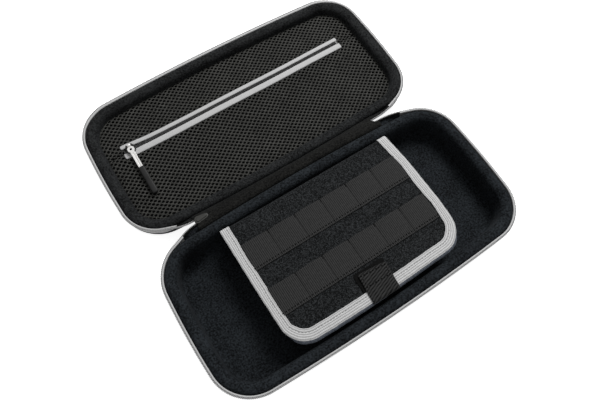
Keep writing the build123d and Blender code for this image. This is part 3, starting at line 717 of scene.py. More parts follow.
ZIP_SLIDER_LOW, ZIP_SLIDER_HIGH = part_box("zip_slider")
SPINE_LOW, SPINE_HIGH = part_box("spine")
ROW_DROP = 1.4 * MM
BASE_ZIP_Z = (BASE_HIGH.z + ROLL_DROP) - ROW_DROP
LID_ZIP_Z = (LID_HIGH.z + ROLL_DROP) - ROW_DROP
ROOT_X = 124 * MM
SLIDER_COVER = 1.5 * MM
SPINE_GAP = 0.5 * MM
TAIL_STEPS = 18
BEND_REACH = 0.4
RING_STATIONS = 360
ROW_EDGE_OFFSET = 0.85 * MM
TEETH_PITCH = 1.4 * MM
TEETH_INSET = 0.7 * MM
TOOTH_SIZE = (1.1 * MM, 1.6 * MM, 2.1 * MM)
CORD_INSET = 1.9 * MM
CORD_RADIUS = 0.9 * MM
CORD_BACK_SHIFT = 0.8 * MM
CORD_BACK_GROWTH = 0.5
CORD_BACK_FACING = (0.5, 0.95)
CORD_LIFT = 0.25 * MM
CORD_WIDE = 0.85
CORD_TALL = 1.1
CORD_SIDES = 10
TAPE_FOOT_INSET = 1.8 * MM
TAPE_DEPTH = 7.4 * MM
TAPE_HEAD_INSET = 1.3 * MM
TAPE_HEAD_DROP = 0.5 * MM
BASE_END_DROP = 1.2 * MM
LID_END_DROP = 2.5 * MM
FREE_REACH = 5.6 * MM
quarter = np.linspace(pi / 2, 0, 2000)
ROOT_TURN = float(np.interp(ROOT_X, rim_xy(quarter, 0)[:, 0], quarter))


def hinge_side(x, inset):
    """Distance of the outline's hinge side from the half's centre line."""
    line = rim_xy(quarter, inset)
    return np.interp(np.abs(x), line[:, 0], line[:, 1])


def bend(start, heading, end, arrival, steps=TAIL_STEPS):
    """A smooth curve from one point and heading to another."""
    start, heading, end, arrival = (np.array(v, float) for v in (start, heading, end, arrival))
    reach = BEND_REACH * np.linalg.norm(end - start)
    handles = np.array([start, start + heading * reach, end - arrival * reach, end])
    t = np.linspace(0, 1, steps)[:, None]
    return np.hstack([(1 - t) ** 3, 3 * t * (1 - t) ** 2, 3 * t**2 * (1 - t), t**3]) @ handles


def ring_line(centre_y, z, first_turn, last_turn, inset=0.0):
    """The outline of one half between two turns, at a height."""
    distances = np.linspace(rim_distance(first_turn), rim_distance(last_turn), RING_STATIONS)
    xy = rim_xy(rim_angle(distances), inset)
    return np.column_stack([xy[:, 0], xy[:, 1] + centre_y, np.full(len(xy), z)])


def lip_line(edge, centre_y, side, far_z, near_z):
    """The line along a lip under a free end of the zip, from the rim's height to the hinge's."""
    share = np.linspace(0, 1, len(edge))
    y = centre_y + side * hinge_side(edge[:, 0], TAPE_FOOT_INSET)
    return np.column_stack([edge[:, 0], y, far_z + (near_z - far_z) * share])


TAPE_SECTION = [
    (0.0, -0.55), (0.0, 0.55), (0.3, 0.55), (0.6, 0.55), (0.85, 0.6), (0.95, 1.0),
    (1.04, 0.9), (1.04, -0.4), (0.97, -0.8), (0.85, -0.6), (0.6, -0.55), (0.3, -0.55),
]


def paint_end_shade(piece, edge, columns, finish):
    """Painted shade: give a band a dark finish where it leaves the rim for the hinge and lies in shade
    between the halves.
    """
    free = np.abs(edge[:, 1] - HINGE.y) < FREE_REACH
    shaded_faces = np.repeat(free[:-1] & free[1:], columns)
    shaded_faces = np.concatenate([shaded_faces, [free[0], free[-1]]])
    piece.data.materials.append(finish)
    piece.data.polygons.foreach_set("material_index", shaded_faces.astype(np.int32))


def build_tape(name, edge, foot, end_shade_finish):
    """Woven tape from a foot line on the lip up to the row of elements, with painted shade at its ends near
    the hinge.
    """
    out = outward(edge)
    head = edge - out * TAPE_HEAD_INSET - np.array((0, 0, TAPE_HEAD_DROP))
    section = [foot + share * (head - foot) + side * MM * out for share, side in TAPE_SECTION]
    piece = skin(name, np.stack(section, axis=1), around=True, caps=True)
    wear(piece, ZIP_TAPE)
    paint_end_shade(piece, edge, len(TAPE_SECTION), end_shade_finish)
    return piece


def build_cord(name, edge):
    """Light cord along the inner side of the row of elements, fuller along the lid's back, with painted
    shade at its ends near the hinge.
    """
    out = outward(edge)
    turns = np.linspace(0, 2 * pi, CORD_SIDES, endpoint=False)
    back = smooth(out[:, 1:2], *CORD_BACK_FACING) * (edge[:, 1:2] > LID_Y)
    middle = edge - out * (CORD_INSET + CORD_BACK_SHIFT * back) + np.array((0, 0, CORD_LIFT))
    wide = CORD_RADIUS * CORD_WIDE * (1 + CORD_BACK_GROWTH * back)
    up = np.array((0, 0, CORD_TALL * CORD_RADIUS))
    section = [middle + wide * cos(t) * out + sin(t) * up for t in turns]
    piece = skin(name, np.stack(section, axis=1), around=True, caps=True)
    wear(piece, ZIP_CORD)
    paint_end_shade(piece, edge, CORD_SIDES, SPINE_CLOTH_AND_SHADE)
    return piece


tooth = bead("tooth_pattern", *TOOTH_SIZE)


def build_teeth(name, edge):
    """Ribbed row of elements along the outer side."""
    piece = set_row(name, [edge - outward(edge) * TEETH_INSET], tooth, TEETH_PITCH, ZIP_TEETH)
    return piece


base_ring = ring_line(0, BASE_ZIP_Z, pi - ROOT_TURN, 2 * pi + ROOT_TURN)
lid_ring = ring_line(LID_Y, LID_ZIP_Z, -ROOT_TURN, pi + ROOT_TURN)
left_x = ZIP_SLIDER_LOW.x + SLIDER_COVER
right_x = SPINE_HIGH.x + SPINE_GAP
base_end_y = HINGE.y - ROW_EDGE_OFFSET
lid_end_y = HINGE.y + ROW_EDGE_OFFSET
base_headings = headings(base_ring)
lid_headings = headings(lid_ring)
base_left = bend((left_x, base_end_y, HINGE.z), (-1, 0, 0), base_ring[0], base_headings[0])
base_right = bend(base_ring[-1], base_headings[-1], (right_x, base_end_y, HINGE.z), (-1, 0, 0))
lid_left = bend(lid_ring[-1], lid_headings[-1], (left_x, lid_end_y, HINGE.z), (1, 0, 0))
lid_right = bend((right_x, lid_end_y, HINGE.z), (1, 0, 0), lid_ring[0], lid_headings[0])
base_edge = np.vstack([base_left[:-1], base_ring, base_right[1:]])

base_foot_z = BASE_ZIP_Z - TAPE_DEPTH
lid_foot_z = LID_ZIP_Z - TAPE_DEPTH
base_near_z = HINGE.z - BASE_END_DROP
lid_near_z = LID_ZIP_Z - LID_END_DROP
base_foot = np.vstack([
    lip_line(base_left, 0, 1, base_near_z, base_foot_z)[:-1],
    ring_line(0, base_foot_z, pi - ROOT_TURN, 2 * pi + ROOT_TURN, TAPE_FOOT_INSET),
    lip_line(base_right, 0, 1, base_foot_z, base_near_z)[1:],
])
lid_foot = ring_line(LID_Y, lid_foot_z, -ROOT_TURN, pi + ROOT_TURN, TAPE_FOOT_INSET)

# The last finish of each half is painted shade on its tape's ends near the hinge.
halves = {
    "base": (base_edge, base_foot, BASE_KNIT),
    "lid": (lid_ring, lid_foot, SPINE_CLOTH_AND_SHADE),
}
for body, (edge, foot, end_shade_finish) in halves.items():
    tape = build_tape(f"{body}_tape", edge, foot, end_shade_finish)
    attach(tape, body)
    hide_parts(f"{body}_zip_tape")
    cord = build_cord(f"{body}_cord", edge)
    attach(cord, body)
    teeth = build_teeth(f"{body}_teeth", edge)
    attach(teeth, body)
    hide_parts(f"{body}_zip_chain")

tails = {
    "left": (lid_left, lip_line(lid_left, LID_Y, -1, lid_foot_z, lid_near_z)),
    "right": (lid_right, lip_line(lid_right, LID_Y, -1, lid_near_z, lid_foot_z)),
}
for hand, (edge, foot) in tails.items():
    # The tails' tapes and cords take the dark finish as painted shade where they leave the rim.
    free_end = [
        build_tape(f"lid_tail_tape_{hand}", edge, foot, SPINE_CLOTH_AND_SHADE),
        build_cord(f"lid_tail_cord_{hand}", edge),
        build_teeth(f"lid_tail_teeth_{hand}", edge),
    ]
    for piece in free_end:
        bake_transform(piece)
    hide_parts(f"lid_zip_tail_{hand}")

# Fabric spine between the two backs

SPINE_THICKNESS = 1.1 * MM
SPINE_STATIONS = 120
SPINE_STEPS = 40
SPINE_EDGE = 6.7 * MM
SPINE_FLANK_LEFT = 13 * MM
SPINE_FLANK_RIGHT = 5 * MM
SPINE_FLANK_START = 1.0 * MM
SPINE_FLANK_FULL = 3.5 * MM
SPINE_FLANK_SHARE = 0.8
SPINE_FREE_START = 0.2
SPINE_FREE_SPAN = 0.6
SPINE_WAVE_TURN = 40
SPINE_WAVES = ((0.3, 210, 0), (0.22, 530, 1.0), (0.15, 1130, 2.0))
SPINE_LINE = [
    (-6.7, 22.6), (-6.7, 24.8), (-6.55, 26.6), (-5.6, 27.7), (-4.0, 28.0), (-2.0, 27.6), (0.0, 26.5),
    (2.0, 24.9), (3.8, 22.9), (5.2, 20.8), (6.2, 18.8), (6.65, 16.9), (6.7, 14.0), (6.7, 11.6),
]


def spine_section():
    """The spine's folded line, smoothed: shares along it, and its places across the hinge and up."""
    line = np.array(SPINE_LINE) * MM
    share = np.linspace(0, 1, len(line))
    fine = np.linspace(0, 1, SPINE_STEPS)
    y = np.interp(fine, share, line[:, 0])
    z = np.interp(fine, share, line[:, 1])
    y, z = (np.convolve(np.pad(v, 2, mode="edge"), np.ones(5) / 5, mode="valid") for v in (y, z))
    return fine, y, z


def build_spine():
    """Folded strip of cloth, bulging over the gap, whose flanks run on beside the zip's ends."""
    fine, y, z = spine_section()
    dy, dz = np.gradient(y), np.gradient(z)
    size = np.hypot(dy, dz)
    free = np.sin(pi * np.clip((fine - SPINE_FREE_START) / SPINE_FREE_SPAN, 0, 1))
    flank = smooth(np.abs(y), SPINE_FLANK_START, SPINE_FLANK_FULL)
    rows = []
    for x in np.linspace(SPINE_LOW.x, SPINE_HIGH.x, SPINE_STATIONS):
        near_end = smooth(abs(x), SPINE_FLANK_SHARE * SPINE_HIGH.x, SPINE_HIGH.x)
        long_x = x + near_end * flank * (SPINE_FLANK_RIGHT if x > 0 else -SPINE_FLANK_LEFT)
        drop = hinge_side(0, 0) - hinge_side(long_x, 0)
        pull = drop * np.clip(y / SPINE_EDGE, -1, 1)
        lift = free * ripple(x, SPINE_WAVES) * MM * np.sin(pi * fine * 2 + x * SPINE_WAVE_TURN)
        top = np.column_stack([long_x, HINGE.y + y + pull - dz / size * lift, z + dy / size * lift])
        side = np.column_stack([np.zeros(len(y)), -dz / size, dy / size]) * SPINE_THICKNESS / 2
        rows.append(np.vstack([top + side, (top - side)[::-1]]))
    piece = skin("spine_cloth", rows, around=True, caps=True)
    wear(piece, SPINE_CLOTH_AND_SHADE)
    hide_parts("spine")
    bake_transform(piece)


build_spine()

# Main slider: a slim leaf with a ridge over a lower plate, with lugs and a pin for its pull

BEVEL_STEPS = 2
PLATE_SHARP = radians(40)
SLEEVE_SHARP = radians(50)


def plate(name, outlines, thickness, bevel, place):
    """A flat plate with rounded edges from closed outlines, the later ones holes, put in its place."""
    curve = bpy.data.curves.new(name, "CURVE")
    curve.dimensions = "2D"
    curve.fill_mode = "BOTH"
    curve.extrude = thickness / 2 - bevel
    curve.bevel_depth = bevel
    curve.bevel_resolution = BEVEL_STEPS
    curve.offset = -bevel
    for outline in outlines:
        spline = curve.splines.new("POLY")
        spline.points.add(len(outline) - 1)
        spline.points.foreach_set("co", [c for x, y in outline for c in (x, y, 0, 1)])
        spline.use_cyclic_u = True
    piece = new_piece(name, curve)
    bpy.context.view_layer.update()
    graph = bpy.context.evaluated_depsgraph_get()
    mesh = bpy.data.meshes.new_from_object(piece.evaluated_get(graph))
    bpy.data.objects.remove(piece)
    mesh.transform(place)
    mesh.set_sharp_from_angle(angle=PLATE_SHARP)
    return new_piece(name, mesh)


def join(pieces):
    """Several pieces as one object, the first."""
    with bpy.context.temp_override(active_object=pieces[0], selected_editable_objects=pieces):
        bpy.ops.object.join()
    return pieces[0]


def leaf_outline(length, head, nose):
    """A drop-shaped outline along X, its broad end towards -X."""
    gap = length - head - nose
    lean = asin((head - nose) / gap)
    big = arc((head - length / 2, 0), head, pi / 2 - lean, 1.5 * pi + lean, 16)
    small = arc((length / 2 - nose, 0), nose, -pi / 2 + lean, pi / 2 - lean, 10)
    return big + small


SLIDER_LENGTH = 13 * MM
SLIDER_HEAD = 3.5 * MM
SLIDER_NOSE = 2.3 * MM
SLIDER_PLATE = 1.1 * MM
SLIDER_BEVEL = 0.45 * MM
RIDGE_LENGTH = 10 * MM
RIDGE_HEAD = 2.0 * MM
RIDGE_NOSE = 0.9 * MM
RIDGE_PLATE = 0.9 * MM
RIDGE_BEVEL = 0.4 * MM
RIDGE_LIFT = 0.1 * MM
NECK_BACK = -4.2 * MM
NECK_FRONT = -1.2 * MM
NECK_HALF = 0.4 * MM
LUG_RADIUS = 1.3 * MM
LUG_PLACE = 2.5 * MM
LUG_PLATE = 1.2 * MM
LUG_BEVEL = 0.15 * MM
LUG_OVERLAP = 0.3 * MM
PIN_RADIUS = 0.8 * MM
FINE_BEVEL = 0.1 * MM


def round_outline(centre, radius, steps):
    """A closed circle of points."""
    return arc(centre, radius, 0, 2 * pi * (steps - 1) / steps, steps)


def build_slider():
    """The leaf with its ridge, the lower plate, the neck, and the lugs and pin underneath."""
    x = (ZIP_SLIDER_LOW.x + ZIP_SLIDER_HIGH.x) / 2
    top = ZIP_SLIDER_HIGH.z
    bottom = 2 * HINGE.z - top
    half = SLIDER_PLATE / 2
    leaf = leaf_outline(SLIDER_LENGTH, SLIDER_HEAD, SLIDER_NOSE)
    ridge = leaf_outline(RIDGE_LENGTH, RIDGE_HEAD, RIDGE_NOSE)
    neck = [(NECK_BACK, -NECK_HALF), (NECK_FRONT, -NECK_HALF)]
    neck += [(NECK_FRONT, NECK_HALF), (NECK_BACK, NECK_HALF)]
    layers = (
        ("zip_slider_body", leaf, SLIDER_PLATE, SLIDER_BEVEL, bottom + half),
        ("zip_slider_body", leaf, SLIDER_PLATE, SLIDER_BEVEL, top - half),
        ("zip_slider_body", ridge, RIDGE_PLATE, RIDGE_BEVEL, top + RIDGE_LIFT),
        ("zip_slider_neck", neck, top - bottom - SLIDER_PLATE, FINE_BEVEL, HINGE.z),
    )
    parts = []
    for name, outline, thickness, bevel, z in layers:
        parts.append(plate(name, [outline], thickness, bevel, Matrix.Translation((x, HINGE.y, z))))
    foot = bottom - ZIP_PIVOT.z + LUG_OVERLAP
    lug = arc((0, 0), LUG_RADIUS, -pi, 0, 16) + [(LUG_RADIUS, foot), (-LUG_RADIUS, foot)]
    upright = Matrix(((1, 0, 0), (0, 0, -1), (0, 1, 0))).to_4x4()
    for side in (-1, 1):
        place = Matrix.Translation(ZIP_PIVOT + Vector((0, side * LUG_PLACE, 0))) @ upright
        parts.append(plate("zip_slider_lug", [lug], LUG_PLATE, LUG_BEVEL, place))
    pin = round_outline((0, 0), PIN_RADIUS, 16)
    place = Matrix.Translation(ZIP_PIVOT) @ upright
    parts.append(plate("zip_slider_pin", [pin], 2 * LUG_PLACE, FINE_BEVEL, place))
    piece = join(parts)
    wear(piece, GUNMETAL)
    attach(piece, "base")
    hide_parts("zip_slider")


build_slider()

# Pulls: a stamped ring and bar with a groove, and a soft sleeve

RING_REACH = 4.2 * MM
RING_RADIUS = 3.2 * MM
RING_HOLE = 1.15 * MM
BAR_WIDTH = 4.0 * MM
GROOVE_HALF = 0.5 * MM
GROOVE_DEPTH = 0.45 * MM
GROOVE_NEAR_GAP = 4.4 * MM
GROOVE_FAR_GAP = 0.8 * MM
KNUCKLE_WIDTH = 3.2 * MM
KNUCKLE_REACH = 1.2 * MM
KNUCKLE_STATIONS = ((-1.6, 1.0), (-1.6, 1.65), (-1.45, 1.8), (1.45, 1.8), (1.6, 1.65), (1.6, 1.0))
PULL_PLATE = 1.4 * MM
PULL_BEVEL = 0.15 * MM
SLEEVE_GRIP = 5 * MM
SLEEVE_HALF_WIDTH = 2.8 * MM
SLEEVE_HALF_DEPTH = 1.5 * MM
SLEEVE_SQUARENESS = 0.5
SLEEVE_STATIONS = [
    (0.0, 0.80, 0.70), (0.008, 0.92, 0.86), (0.03, 0.99, 0.97), (0.07, 1.0, 1.0), (0.3, 0.97, 0.96),
    (0.46, 0.95, 0.94), (0.475, 0.88, 0.84), (0.50, 0.88, 0.84), (0.515, 0.96, 0.95), (0.7, 1.0, 1.0),
    (0.9, 1.0, 1.0), (0.96, 0.95, 0.96), (0.99, 0.82, 0.84), (1.0, 0.66, 0.66),
]
POCKET_BAR = 24.2 * MM
POCKET_PULL_LENGTH = 53 * MM
ZIP_BAR = 8 * MM
ZIP_PULL_LENGTH = 17 * MM
POCKET_PULL_SLOPE = radians(2.974)


def pull_frame(pivot, along, up):
    """Place of a pull: Y along it from the pivot, Z out of its face."""
    across = along.cross(up)
    return Matrix.Translation(pivot) @ Matrix((across, along, up)).transposed().to_4x4()


def pull_outline(bar_end):
    """Ring on a narrow neck, going over into the bar."""
    neck = KNUCKLE_WIDTH / 2
    bar = BAR_WIDTH / 2
    first = asin(neck / RING_RADIUS)
    last = asin(bar / RING_RADIUS)
    right = arc((0, RING_REACH), RING_RADIUS, first - pi / 2, pi / 2 - last, 14)
    left = arc((0, RING_REACH), RING_RADIUS, pi / 2 + last, 1.5 * pi - first, 14)
    start = [(-neck, KNUCKLE_REACH), (neck, KNUCKLE_REACH)]
    return start + right + [(bar, bar_end), (-bar, bar_end)] + left


def build_link(name, place, bar_end):
    """Two stamped layers, the lower whole and the upper with a slot as the groove, and the knuckle."""
    outline = pull_outline(bar_end)
    hole = round_outline((0, RING_REACH), RING_HOLE, 24)
    near = RING_REACH + GROOVE_NEAR_GAP
    far = bar_end - SLEEVE_GRIP - GROOVE_FAR_GAP
    slot = [(-GROOVE_HALF, near), (-GROOVE_HALF, far), (GROOVE_HALF, far), (GROOVE_HALF, near)]
    down = place @ Matrix.Translation((0, 0, -GROOVE_DEPTH / 2))
    over = place @ Matrix.Translation((0, 0, (PULL_PLATE - GROOVE_DEPTH) / 2))
    lower = plate(name, [outline, hole], PULL_PLATE - GROOVE_DEPTH, PULL_BEVEL, down)
    upper = plate(name, [outline, hole, slot], GROOVE_DEPTH, PULL_BEVEL, over)
    turns = np.linspace(0, 2 * pi, 20, endpoint=False)
    rows = []
    for x, radius in KNUCKLE_STATIONS:
        section = [(x * MM, radius * MM * cos(t), radius * MM * sin(t)) for t in turns]
        rows.append([place @ Vector(point) for point in section])
    knuckle = skin(name, np.array(rows), around=True, across=True)
    return join([lower, upper, knuckle])


def build_sleeve(name, place, start, end):
    """Moulded rubber sleeve with a waist half way along."""
    turns = np.linspace(0, 2 * pi, 28, endpoint=False)
    rows = []
    for share, wide, thick in SLEEVE_STATIONS:
        y = start + share * (end - start)
        section = []
        for t in turns:
            x = SLEEVE_HALF_WIDTH * wide * squared(cos(t), SLEEVE_SQUARENESS)
            z = SLEEVE_HALF_DEPTH * thick * squared(sin(t), SLEEVE_SQUARENESS)
            section.append(place @ Vector((x, y, z)))
        rows.append(section)
    piece = skin(name, np.array(rows), around=True, caps=True)
    piece.data.set_sharp_from_angle(angle=SLEEVE_SHARP)
    wear(piece, PULL_RUBBER)
    return piece


fall, rise = sin(POCKET_PULL_SLOPE), cos(POCKET_PULL_SLOPE)
pocket_place = pull_frame(POCKET_PIVOT, Vector((0, -rise, -fall)), Vector((0, -fall, rise)))
zip_place = pull_frame(ZIP_PIVOT, Vector((0, 0, -1)), Vector((-1, 0, 0)))
pulls = {
    "pocket_pull": (pocket_place, POCKET_BAR, POCKET_PULL_LENGTH, BRIGHT_METAL),
    "zip_pull": (zip_place, ZIP_BAR, ZIP_PULL_LENGTH, GUNMETAL),
}
for name, (place, bar, length, metal) in pulls.items():
    link = build_link(f"{name}_stamping", place, bar + SLEEVE_GRIP)
    wear(link, metal)
    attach(link, name)
    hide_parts(f"{name}_link")
    sleeve = build_sleeve(f"{name}_rubber", place, bar, length)
    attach(sleeve, name)
    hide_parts(f"{name}_sleeve")

for node, finish in (("pocket_slider", GUNMETAL), ("pocket_zip_stops", COIL_PLASTIC)):
    frame["nodes"][node].data.materials.clear()
    frame["nodes"][node].data.materials.append(finish)

# Net of the lid's pocket, in two panels sewn together beyond the zip's ends

NET_LOW, NET_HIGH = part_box("pocket_mesh_hinge_side")
COIL_LOW, COIL_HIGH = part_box("pocket_zip_coil")
NET_Z = (NET_LOW.z + NET_HIGH.z) / 2
NET_INSET = NET_LOW.y - (LID_Y - RIM_HALF_WIDTH)
ZIP_LINE_Y = (COIL_LOW.y + COIL_HIGH.y) / 2
NET_PITCH = 5.71 * MM
NET_ROW_PITCH = 2.137 * MM
NET_HOLE_LONG = 1.6 * MM
NET_HOLE_SHORT = 1.15 * MM
NET_CELL_TOP = 0.3
NET_HOLE_TOP = 0.1
NET_UNDERSIDE = -0.4
NET_SPARE = 1.2 * MM
NET_SAG = 1.6 * MM
SAG_LEAST = 0.7
SAG_RATES = ((95, 40), (-21, 130))
NET_WALL_REACH = 30 * MM
NET_SEAM_START = 6 * MM
NET_SEAM_REACH = 34 * MM
SEWN_LEFT = (117 * MM, 126 * MM)
SEWN_RIGHT = (114 * MM, 122 * MM)
PUCKER_DEPTH = 2.6 * MM
PUCKER_WIDTH = 1.6 * MM
PUCKER_LEVEL = 0.6
PUCKER_WAVES = ((0.4, 900, 0.7),)
TUCK_DEPTH = 0.5 * MM
TUCK_WIDTH = 3 * MM
GATHER_SIZE = 0.22
GATHER_RATE = 640
GATHER_TOP = 0.1
GATHER_START = 2 * MM
GATHER_REACH = 12 * MM
DRAWN_SHARE = 0.32
DRAWN_WIDTH = 9 * MM


def inside_rim(x, y):
    """How far points lie inside the outline of a half, and the outward normal there, about its centre."""
    fold_x, fold_y = np.abs(x), np.abs(y)
    short_x = RIM_HALF_LENGTH - SHORT_SIDE_RADIUS
    long_y = RIM_HALF_WIDTH - LONG_SIDE_RADIUS
    on_short = np.arctan2(fold_y, fold_x - short_x) < SHORT_END
    on_long = np.arctan2(fold_y - long_y, fold_x) > LONG_END
    dx = fold_x - np.where(on_short, short_x, np.where(on_long, 0, CORNER.x))
    dy = fold_y - np.where(on_short, 0, np.where(on_long, long_y, CORNER.y))
    radius = np.where(on_short, SHORT_SIDE_RADIUS, np.where(on_long, LONG_SIDE_RADIUS, CORNER_RADIUS))
    far = np.maximum(np.hypot(dx, dy), 1e-9)
    return radius - far, np.copysign(dx / far, x), np.copysign(dy / far, y)


def build_cell():
    """One cell of the net: yarn round an oval hole, with its upper, inner and lower sides."""
    half, row = NET_PITCH / 2, NET_ROW_PITCH
    tip = half / 2 + row**2 / (2 * half)
    flat = half - tip
    quarter_edge = [(tip, 0), ((tip + flat) / 2, row / 2), (flat, row), (0, row)]
    left_edge = [(-x, y) for x, y in quarter_edge[-2:0:-1]]
    upper_edge = quarter_edge + left_edge
    edge = np.array(upper_edge + [(-x, -y) for x, y in upper_edge])
    turns = np.arctan2(edge[:, 1] / NET_HOLE_SHORT, edge[:, 0] / NET_HOLE_LONG)
    hole = np.column_stack([NET_HOLE_LONG * np.cos(turns), NET_HOLE_SHORT * np.sin(turns)])
    level = np.ones((len(edge), 1)) * MM
    rows = [
        np.hstack([edge, NET_CELL_TOP * level]),
        np.hstack([hole, NET_HOLE_TOP * level]),
        np.hstack([hole, NET_UNDERSIDE * level]),
        np.hstack([edge, NET_UNDERSIDE * level]),
    ]
    return skin("net_cell_pattern", np.array(rows), around=True)


def panel_outline(side, spare):
    """Outline of a net panel: the lid's wall and the zip's line, which it may overrun."""
    line = ring_line(LID_Y, NET_Z, 0, 2 * pi, NET_INSET - spare)[:-1]
    limit = ZIP_LINE_Y - side * spare
    line[:, 1] = np.maximum(line[:, 1], limit) if side > 0 else np.minimum(line[:, 1], limit)
    return line


def hang_net(points, side):
    """Bring the net's points inside its panel, let it sag and pucker it along the sewn ends."""
    x, y = points[:, 0], points[:, 1] - LID_Y
    inset, out_x, out_y = inside_rim(x, y)
    over = np.maximum(NET_INSET - inset, 0)
    x, y = x - out_x * over, y - out_y * over
    seam = ZIP_LINE_Y - LID_Y
    y = np.maximum(y, seam) if side > 0 else np.minimum(y, seam)
    inset = inside_rim(x, y)[0] - NET_INSET
    free = smooth(inset, 0, NET_WALL_REACH) * smooth(np.abs(y - seam), NET_SEAM_START, NET_SEAM_REACH)
    broad, cross = (np.sin(x * rate_x + y * rate_y) for rate_x, rate_y in SAG_RATES)
    uneven = 0.5 + 0.5 * broad * cross
    sewn = smooth(-x, *SEWN_LEFT) + smooth(x, *SEWN_RIGHT)
    fold = PUCKER_LEVEL + ripple(x, PUCKER_WAVES)
    pucker = sewn * fold * bump(y, seam, PUCKER_WIDTH)
    tuck = 1 - smooth(inset, 0, TUCK_WIDTH)
    gather = (1 - smooth(inset, GATHER_START, GATHER_REACH)) * np.sin((x - y) * GATHER_RATE) * GATHER_SIZE
    sag = NET_SAG * free * (SAG_LEAST + (1 - SAG_LEAST) * uneven)
    z = points[:, 2] - sag - PUCKER_DEPTH * pucker - TUCK_DEPTH * tuck
    z += np.minimum(gather, GATHER_TOP) * MM
    drawn = DRAWN_SHARE * np.minimum(sewn, 1) * bump(y, seam, DRAWN_WIDTH)
    y -= (y - seam) * drawn
    return np.column_stack([x, y + LID_Y, z])


def build_net(name, side, node, cell):
    """One panel of the net, as cells over the panel's plan, hung in its place."""
    panel = bpy.data.meshes.new(name)
    outline = panel_outline(side, NET_SPARE)
    panel.from_pydata(outline.tolist(), [], [list(range(len(outline)))])
    piece = new_piece(name, panel)
    size = outline.max(axis=0) - outline.min(axis=0)
    middle = (outline.max(axis=0) + outline.min(axis=0)) / 2
    values = {
        "Cell": cell,
        "Pitch": NET_PITCH,
        "Row Pitch": NET_ROW_PITCH,
        "Columns": int(size[0] / NET_PITCH) + 3,
        "Rows": int(size[1] / NET_ROW_PITCH) + 3,
        "Middle": tuple(middle),
        "Finish": NET_YARN,
    }
    grow(piece, NET_TREE, values)
    points = np.empty(3 * len(piece.data.vertices))
    piece.data.vertices.foreach_get("co", points)
    piece.data.vertices.foreach_set("co", hang_net(points.reshape(-1, 3), side).ravel())
    piece.data.update()
    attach(piece, "lid")
    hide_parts(node)
    flat = panel_outline(side, 0)
    size = flat.max(axis=0) - flat.min(axis=0)


net_cell = build_cell()
build_net("net_hinge_side", -1, "pocket_mesh_hinge_side", net_cell)
build_net("net_far_side", 1, "pocket_mesh_far_side", net_cell)

# Zip of the pocket: two folded light strips, the coil and its tape

STRIP_END = 0.8 * MM
STRIP_END_STEPS = (0, 0.06, 0.2, 0.45, 0.8, 1.3)
STRIP_END_LEAST = 0.02
STRIP_PLAIN_START = 4 * MM
STRIP_STATIONS = 130
STRIP_BOW = 0.7 * MM
STRIP_SWAY = 0.15 * MM
STRIP_SWAY_RATE = 62
STRIP_SWAY_START = 900
STRIP_FULLNESS = 0.94
STRIP_WAVES = ((0.06 * MM, 410, 0),)
SPLAY_REACH = 45 * MM
STRIP_SECTION = [
    (-1, 0.0), (-1, 0.35), (-0.93, 0.72), (-0.72, 0.92), (-0.25, 1.0), (0.25, 1.0),
    (0.72, 0.92), (0.93, 0.72), (1, 0.35), (1, 0.0), (0.3, 0.0), (-0.3, 0.0),
]


def build_strip(name, node, shift, splay):
    """Folded strip of cloth, rounded at its ends and splayed at the pull's end."""
    low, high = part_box(node)
    half = (high.y - low.y) / 2
    rise = high.z - low.z
    start, end = low.x, high.x
    ends = np.array(STRIP_END_STEPS) * STRIP_END
    plain = np.linspace(start + STRIP_PLAIN_START, end - STRIP_PLAIN_START, STRIP_STATIONS)
    rows = []
    for x in np.concatenate([start + ends, plain, end - ends[::-1]]):
        near = min(x - start, end - x)
        taper = sqrt(max(1 - max(1 - near / STRIP_END, 0) ** 2, STRIP_END_LEAST))
        spread = (1 - float(smooth(x, start, start + SPLAY_REACH))) ** 2
        middle = (low.y + high.y) / 2 + shift + splay * spread
        middle += STRIP_SWAY * sin(x * STRIP_SWAY_RATE + half * STRIP_SWAY_START)
        middle += STRIP_BOW * (max(x, 0) / high.x) ** 2
        height = rise * (0.5 + 0.5 * taper) * STRIP_FULLNESS + ripple(x, STRIP_WAVES)
        wide = half * taper
        rows.append([(x, middle + across * wide, low.z + up * height) for across, up in STRIP_SECTION])
    piece = skin(name, rows, around=True, caps=True)
    wear(piece, STRIP_CLOTH)
    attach(piece, "lid")
    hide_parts(node)


build_strip("pocket_strip_wide", "pocket_zip_strip_wide", 0.3 * MM, 0.4 * MM)
build_strip("pocket_strip_narrow", "pocket_zip_strip_narrow", -0.4 * MM, 2.2 * MM)

COIL_PITCH = 1.25 * MM
COIL_LOOP_SIZE = (0.85 * MM, 2.2 * MM, 1.0 * MM)
COIL_DROP = 0.45 * MM
COIL_ROW_OFFSET = 0.72 * MM
COIL_END_GAP = 0.6 * MM
COIL_TAPE_SPARE = 0.25 * MM
COIL_TAPE_OVERRUN = 1.2 * MM
COIL_TAPE_STATIONS = 60
COIL_TAPE_SECTION = [(-1, -0.9), (-1, -0.55), (-0.4, -0.45), (0.4, -0.45), (1, -0.55), (1, -0.9)]
coil_loop = bead("coil_pattern", *COIL_LOOP_SIZE)


